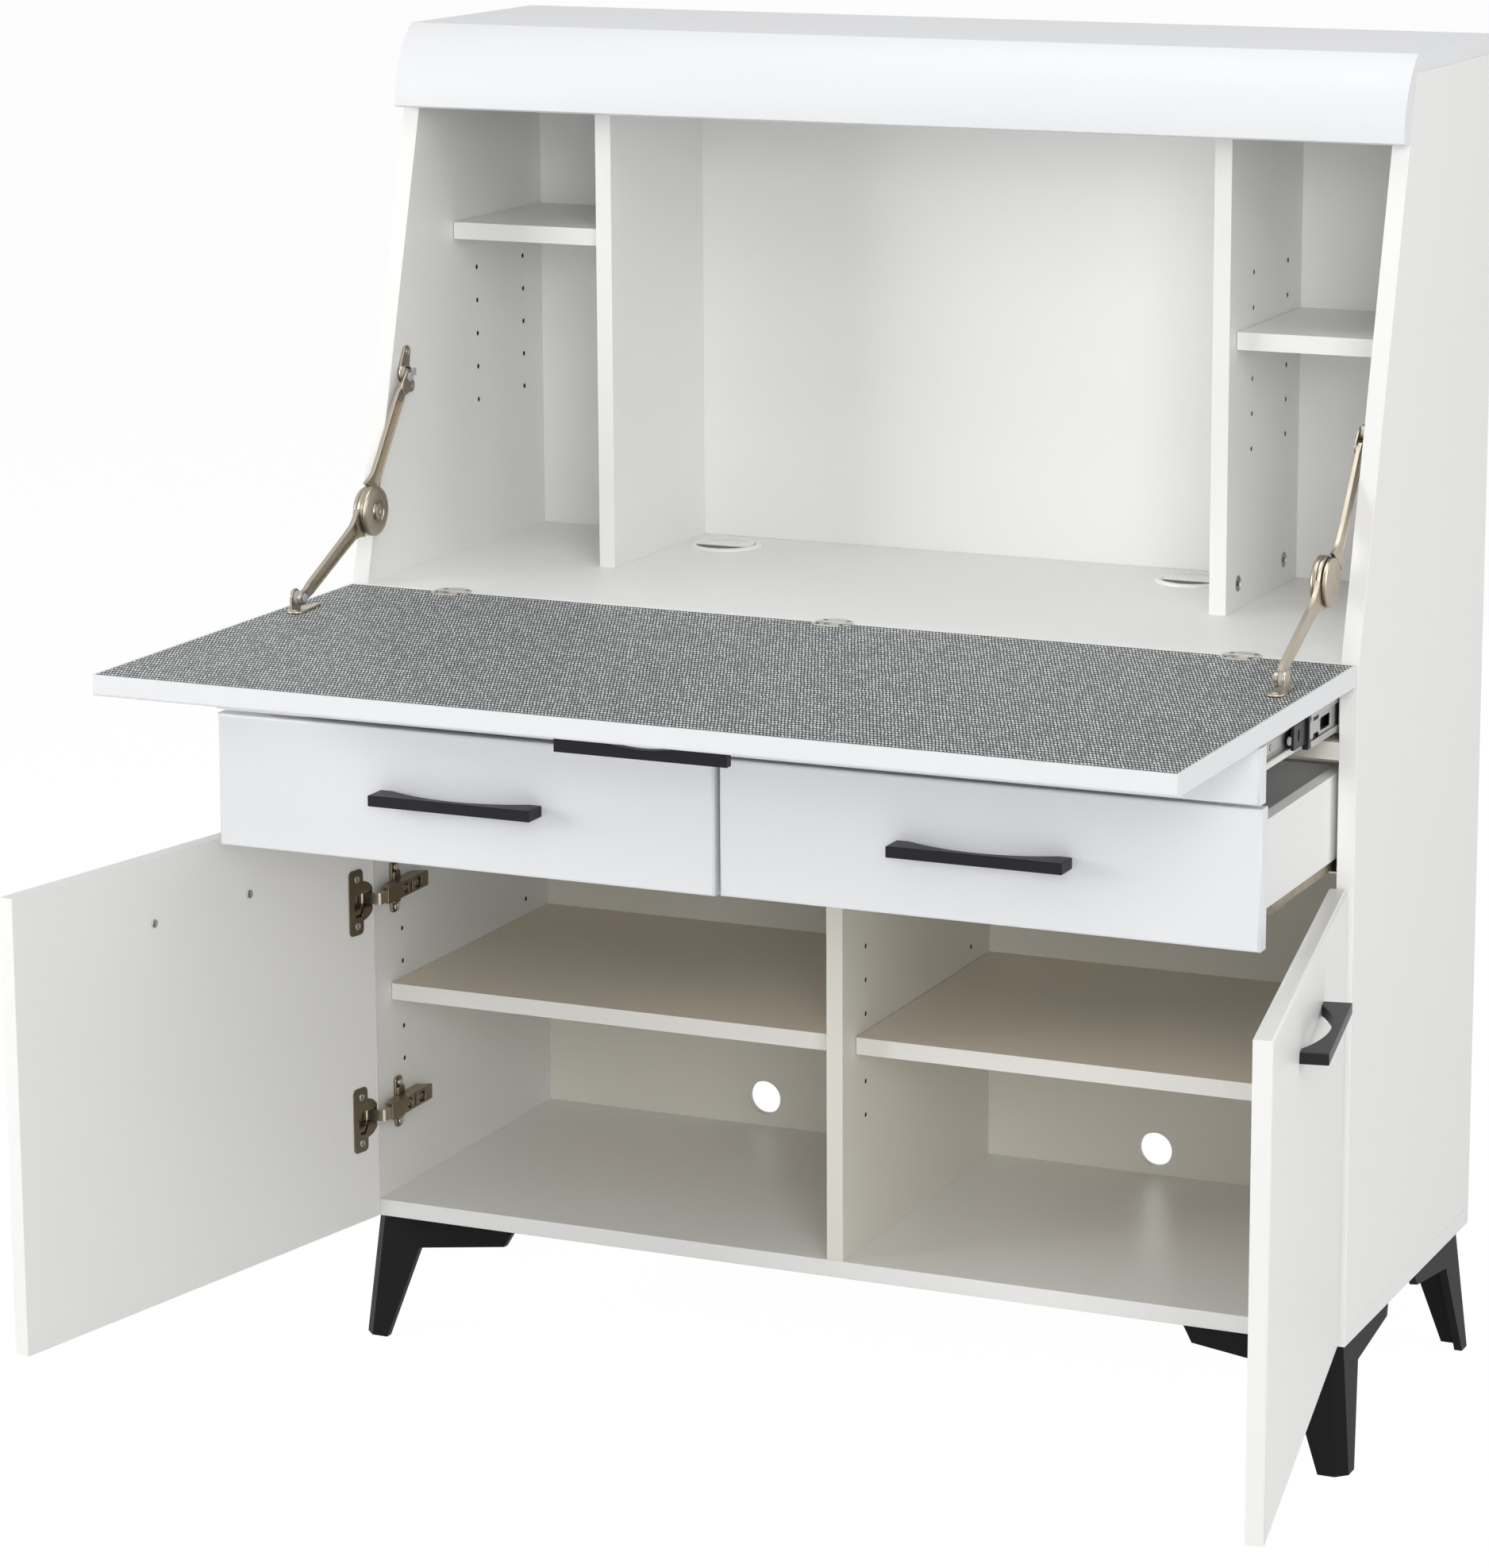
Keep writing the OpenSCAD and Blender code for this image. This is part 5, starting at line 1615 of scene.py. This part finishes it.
@dataclass
class Door:
    """Door on two cup hinges, with a level handle near its top.

    Shapes are drawn on the closed right-hand door and then swung open and mirrored.
    """

    shop: Workshop
    side: Side
    edge_local: float = -15.0
    width: float = 484.5
    height: float = 411.0
    bottom_z: float = 3.0
    opening: float = 100.8
    handle_drop: float = 60.0
    screw_reach: float = 64.0
    inner_y: float = -2.0

    def pose(self) -> Matrix:
        """Matrix that swings the closed right-hand door open."""
        pin = Matrix.Translation((WALL_X - DOOR_PIN[0], DOOR_PIN[1], 0))
        return pin @ Matrix.Rotation(math.radians(self.opening), 4, "Z") @ pin.inverted()

    def screws(self, name: str, part: Shell, spots: Iterable[Spot]) -> None:
        """Puts screws in the inner face of the door.

        Args:
            name: start of the piece's name.
            part: head of the screw.
            spots: where they go on the closed right-hand door.
        """
        turned = [s.posed(self.pose()).mirrored(self.side.value) for s in spots]
        self.shop.lay(f"{name}_{self.side.word}", part, turned, f"door_{self.side.word}",
                      self.shop.palette.zinc)

    def handle(self) -> None:
        """Puts the handle on the outer face, and its screws on the inner face."""
        middle = WALL_X - self.edge_local - self.width / 2
        z = self.bottom_z + self.height - self.handle_drop
        place = self.pose() @ Matrix.Translation((middle, FRONT_Y, z))
        shell = BowHandle().shell().moved(place).mirrored(self.side.value)
        word = self.side.word
        shell_piece(f"door_bow_handle_{word}", shell, f"door_{word}", self.shop.palette.handle,
                    f"door_handle_{word}")
        self.screws("door_handle_screws", screw(3.9, 1.5),
                    [Spot((middle + k * self.screw_reach, self.inner_y - 0.1, z), (0.0, 1.0, 0.0))
                     for k in BOTH])

    def cup(self, z: float) -> Shell:
        """Flanged hinge cup set in the inner face of the door.

        Args:
            z: height of the hinge.

        Returns:
            The cup, its flange, its pin and the lever inside.
        """
        y = self.inner_y
        bulge = math.degrees(math.atan2(18.9, -2.0))
        cut = math.degrees(math.atan2(11.0, -15.5))
        half = (arc(19, 26.5, 5, 0, 90, 6) + arc(8.5, 26.5, 5, 90, 180, 6)
                + arc(5.5, 0, 19.0, bulge, cut, 8))
        mouth = [(-10.0, 7.2)] + arc(9.8, 0, 7.2, 90, -30, 9)
        mouth += [(17.4, -9.0), (14.0, -14.4), (6.0, -14.4), (2.6, -7.2), (-10.0, -7.2)]
        outline = half + mouth + [(a, -b) for a, b in reversed(half)]
        shell = Shell().plate([(WALL_X - a, z + b) for a, b in outline], Axis.Y, y, y + 1.2, 0.35,
                              steps=2)
        bowl = [(16.7, y + 0.1), (17.4, y + 0.1), (17.4, y - 12.4), (0.0, y - 12.4),
                (0.0, y - 11.9), (16.7, y - 11.9)]
        shell.lathe(bowl, Axis.Y, (WALL_X - 5.5, z), 48)
        pin = [(0.0, z - 9.6), (0.95, z - 9.6), (0.95, z + 9.6), (0.0, z + 9.6)]
        shell.lathe(pin, Axis.Z, (WALL_X - DOOR_PIN[0], DOOR_PIN[1]), 16)
        cheek = inwards([(-10.4, -13.4), (2.0, -13.4), (2.0, -6.0), (-10.4, -8.0)])
        for k in BOTH:
            shell.plate(cheek, Axis.Z, z + k * 8.6 - 0.7, z + k * 8.6 + 0.7, 0.3)
        lever = [(16.6, z - 8.6), (13.4, z - 13.8), (6.6, z - 13.8), (3.4, z - 8.0)]
        return shell.plate(inwards(lever), Axis.Y, y - 6.0, y - 0.4, 1.2)

    def cups(self) -> None:
        """Sets both hinge cups and their screws in the door."""
        shell = Shell().joined(*(self.cup(z) for z in DOOR_HINGE_ZS))
        word = self.side.word
        shell_piece(f"door_hinge_cups_{word}", shell.moved(self.pose()).mirrored(self.side.value),
                    f"door_{word}", self.shop.palette.bronze, f"door_cups_{word}")
        spots = [Spot((WALL_X - 12.4, self.inner_y + 1.1, z + k * 22.5), (0.0, 1.0, 0.0), 15.0)
                 for z in DOOR_HINGE_ZS for k in BOTH]
        self.screws("door_cup_screws", screw(3.7, 1.2), spots)

    def build(self) -> None:
        """Builds and dresses the door with its hinge cups."""
        word = self.side.word
        node_piece(f"door_board_{word}", f"door_panel_{word}", f"door_{word}",
                   self.shop.palette.carcass)
        self.cups()
        self.handle()


def inwards(points: Ring) -> Ring:
    """Turns distances inwards from the right side panel into carcass X."""
    return [(WALL_X - a, b) for a, b in points]


@dataclass
class HingeArms:
    """Fixed arms and mounting plates of the door hinges. Shapes are for the right side."""

    shop: Workshop
    link_half: float = 5.6
    slot_y: float = 47.0
    screw_ys: Point2 = (36.0, 59.0)
    wing_y: float = 37.0

    def link(self, z: float) -> Shell:
        """Cranked link from the pin in the cup to the arm's body.

        Args:
            z: height of the hinge.

        Returns:
            The link.
        """
        px, py = DOOR_PIN
        low, high, start = z - self.link_half, z + self.link_half, px + 1.4
        outer = [(start, py - 1.1)] + arc(11.4, py + 1.5, 2.6, -90, 0, 6) + [(14.0, 11.0)]
        inner = [(11.6, 11.0), (11.6, py + 2.4)] + arc(10.3, py + 2.4, 1.3, 0, -90, 5)[1:]
        inner += [(start, py + 1.1)]
        shell = Shell().plate(inwards(outer + inner), Axis.Z, low, high, 0.4, steps=2)
        eye = [(1.05, low), (2.3, low), (2.3, high), (1.05, high)]
        return shell.lathe(eye, Axis.Z, (WALL_X - px, py), 24)

    def body(self, z: float) -> Shell:
        """Channel of the arm: a face with its openings, two walls and a closed front.

        Args:
            z: height of the hinge.

        Returns:
            The channel.
        """
        x = WALL_X
        near, far = self.screw_ys
        holes = [circle(near, z, 4.9, 24),
                 rectangle(self.slot_y - 1.7, z - 5.2, self.slot_y + 1.7, z + 5.2, 1.6),
                 rectangle(far - 5.0, z - 5.0, far + 7.0, z + 5.0, 4.4)]
        face = [(0.8, z - 8), (80.0, z - 7), (80.0, z + 7), (0.8, z + 8)]
        shell = Shell().plate(face, Axis.X, x - 15.2, x - 13.9, 0.5, holes=holes)
        wall = [(x - 14.6, 1.6), (x - 6.6, 3.2), (x - 3.6, 14.0), (x - 3.0, 72.0), (x - 14.6, 79.0)]
        for k in BOTH:
            lo, hi = sorted((z + k * 6.4, z + k * 7.6))
            shell.plate(wall, Axis.Z, lo, hi, 0.4)
        return shell.plate(rectangle(x - 14.6, 8.0, x - 6.0, 11.0, 0.6), Axis.Z, z - 6.8, z + 6.8,
                           0.48, steps=2)

    def plate(self, z: float) -> Shell:
        """Winged mounting plate with its ridge.

        Args:
            z: height of the hinge.

        Returns:
            The plate.
        """
        x = WALL_X
        shell = Shell()
        shell.plate(rectangle(30.0, z - 25.0, 44.0, z + 25.0, 5.0), Axis.X, x - 2.8, x, 0.8)
        shell.plate(rectangle(26.0, z - 6.2, 77.0, z + 6.2, 2.0), Axis.X, x - 3.4, x, 0.6)
        shell.plate(rectangle(31.0, z - 5.9, 73.0, z + 5.9, 1.5), Axis.X, x - 12.6, x - 3.0, 1.0)
        for k in BOTH:
            shell.plate(rectangle(30.5, z + k * 11.0 - 4.6, 43.5, z + k * 11.0 + 4.6, 2.0), Axis.X,
                        x - 5.4, x - 2.0, 1.2)
        return shell

    def build(self) -> None:
        """Builds and dresses the links, arms, plates and screws."""
        p = self.shop.palette
        rows = (("hinge_arm_bodies", self.body, p.bronze, ["door_hinge_arms"]),
                ("hinge_arm_links", self.link, p.link, []),
                ("hinge_mounting_plates", self.plate, p.bronze, ["door_hinge_plates"]))
        for name, shape, coat, nodes in rows:
            right = Shell().joined(*(shape(z) for z in DOOR_HINGE_ZS))
            shell_piece(name, right.paired(), "cabinet", coat, *nodes)
        spots = [Spot((WALL_X - 12.6, y, z), (-1.0, 0.0, 0.0), 20.0)
                 for z in DOOR_HINGE_ZS for y in self.screw_ys]
        self.shop.lay("hinge_arm_screws", screw(3.7, 2.2), both_sides(spots), "cabinet", p.bronze)
        wings = [Spot((WALL_X - 2.8, self.wing_y, z + k * 19.0), (-1.0, 0.0, 0.0))
                 for z in DOOR_HINGE_ZS for k in BOTH]
        self.shop.lay("hinge_plate_screws", screw(3.8, 1.8), both_sides(wings), "cabinet", p.link)


@dataclass
class Desk:
    """The whole desk."""

    shop: Workshop = field(default_factory=Workshop)

    def build(self) -> None:
        """Builds every sub-assembly in order."""
        parts = (Carcass(self.shop), Flap(self.shop), FoldingStays(self.shop), Tray(self.shop),
                 Drawer(self.shop, Side.LEFT, 236.0), Drawer(self.shop, Side.RIGHT, 232.0),
                 Door(self.shop, Side.LEFT), Door(self.shop, Side.RIGHT), HingeArms(self.shop))
        for part in parts:
            log.info("building %s", type(part).__name__)
            part.build()
        node_piece("drawer_cabinet_runners", "drawer_runners", "cabinet",
                   self.shop.palette.zinc, 0.3)


# ---------------------------------------------------------------- studio


class Lamp(NamedTuple):
    """A square area lamp that points at a target, in metres."""

    name: str
    place: Point3
    target: Point3
    size: float
    power: float

    def build(self) -> None:
        """Adds the lamp to the scene."""
        data = bpy.data.lights.new(self.name, "AREA")
        data.shape = "SQUARE"
        data.size = self.size
        data.energy = self.power
        obj = new_object(self.name, data)
        obj.location = self.place
        obj.rotation_mode = "QUATERNION"
        aim = Vector(self.target) - Vector(self.place)
        obj.rotation_quaternion = aim.to_track_quat("-Z", "Y")


# Large soft lamps: a key from the left, fills from the right front, right, behind and above.
LAMPS = (
    Lamp("key_left", (-3.4, -2.2, 1.5), (0.0, 0.0, 0.7), 2.0, 86.0),
    Lamp("front_right", (2.0, -4.3, 1.4), (0.0, 0.0, 0.6), 2.2, 64.0),
    Lamp("high_right", (2.2, -4.0, 3.0), (0.0, 0.0, 0.6), 2.2, 46.0),
    Lamp("right_high", (2.6, -2.4, 3.6), (0.1, 0.0, 0.8), 2.0, 28.0),
    Lamp("right_back", (3.9, 0.6, 1.6), (0.3, 0.0, 0.6), 2.0, 46.0),
    Lamp("behind", (-0.6, 3.8, 0.25), (0.0, 0.0, 0.7), 1.2, 26.0),
    Lamp("top", (0.0, -0.4, 3.8), (0.0, 0.0, 0.6), 2.4, 36.0),
)


@dataclass
class Studio:
    """Camera, soft lights and pale floor. Focal length and centre are in units of frame_size."""

    eye: Point3 = (1712.0, -3957.2, 1455.0)
    yaw: float = 0.40783
    pitch: float = 0.20386
    roll: float = -0.0015
    focal: float = 6218.0
    centre: Point2 = (1053.5, 849.2)
    frame_size: Point2 = (1876.0, 1975.0)
    sensor: float = 36.0
    clip_end: float = 120.0
    floor_half: float = 45.0

    def camera(self) -> None:
        """Puts the camera at the viewing position with its lens shift."""
        cy, sy = math.cos(self.yaw), math.sin(self.yaw)
        cp, sp = math.cos(self.pitch), math.sin(self.pitch)
        forward = Vector((-sy * cp, cy * cp, -sp))
        right = Vector((cy, sy, 0))
        up = right.cross(forward)
        cr, sr = math.cos(self.roll), math.sin(self.roll)
        right, up = right * cr + up * sr, up * cr - right * sr
        data = bpy.data.cameras.new("camera")
        long_side = max(self.frame_size)
        data.sensor_width = self.sensor
        data.lens = self.focal / long_side * self.sensor
        data.shift_x = (self.frame_size[0] / 2 - self.centre[0]) / long_side
        data.shift_y = (self.centre[1] - self.frame_size[1] / 2) / long_side
        data.clip_end = self.clip_end
        camera = new_object("camera", data)
        turn = Matrix((right, up, -forward)).transposed()
        camera.matrix_world = Matrix.Translation(metres(self.eye)) @ turn.to_4x4()
        bpy.context.scene.camera = camera

    @staticmethod
    def seen_directly(s: Nodes) -> bpy.types.NodeSocket:
        """1 for rays from the camera and for mirror and glass rays.

        Args:
            s: writes the nodes.

        Returns:
            The value.
        """
        path = s.node("ShaderNodeLightPath").outputs
        both = s.math("MAXIMUM", path["Is Camera Ray"], path["Is Glossy Ray"])
        return s.math("MAXIMUM", both, path["Is Transmission Ray"])

    def world(self) -> None:
        """Even pale surroundings that look white to the camera."""
        world = bpy.data.worlds.new("studio")
        world.use_nodes = True
        bpy.context.scene.world = world
        s = Nodes(world.node_tree)
        s.feed(s.tree.nodes["Background"], {
            "Color": (1.0, 1.0, 1.0, 1),
            "Strength": s.ramp(self.seen_directly(s), 0.0, 1.0, 0.06, 1.0)})

    def floor(self) -> None:
        """Pale floor that keeps a soft shadow."""
        half = self.floor_half
        mesh = bpy.data.meshes.new("floor")
        mesh.from_pydata([(-half, -half, 0), (half, -half, 0), (half, half, 0), (-half, half, 0)],
                         [], [(0, 1, 2, 3)])
        floor = new_object("floor", mesh)
        material = bpy.data.materials.new("floor_paint")
        material.use_nodes = True
        s = Nodes(material.node_tree)
        principled = s.tree.nodes["Principled BSDF"]
        s.feed(principled, {"Base Color": (0.82, 0.82, 0.82, 1), "Roughness": 0.9,
                            "Specular IOR Level": 0.0})
        glow = s.node("ShaderNodeEmission", {"Color": (1, 1, 1, 1), "Strength": 1.06})
        share = s.math("MULTIPLY", self.seen_directly(s), 0.92)
        blend = s.node("ShaderNodeMixShader", {0: share, 1: principled.outputs[0],
                                               2: glow.outputs[0]})
        s.feed(s.tree.nodes["Material Output"], {"Surface": blend.outputs[0]})
        mesh.materials.append(material)

    def build(self) -> None:
        """Sets up the studio and the plain colour view."""
        bpy.context.scene.view_settings.view_transform = "Standard"
        self.camera()
        self.world()
        for lamp in LAMPS:
            lamp.build()
        self.floor()


def main() -> None:
    """Builds the studio and the desk."""
    logging.basicConfig(level=logging.INFO, format="%(name)s: %(message)s")
    Studio().build()
    Desk().build()


if __name__ == "__main__":
    main()
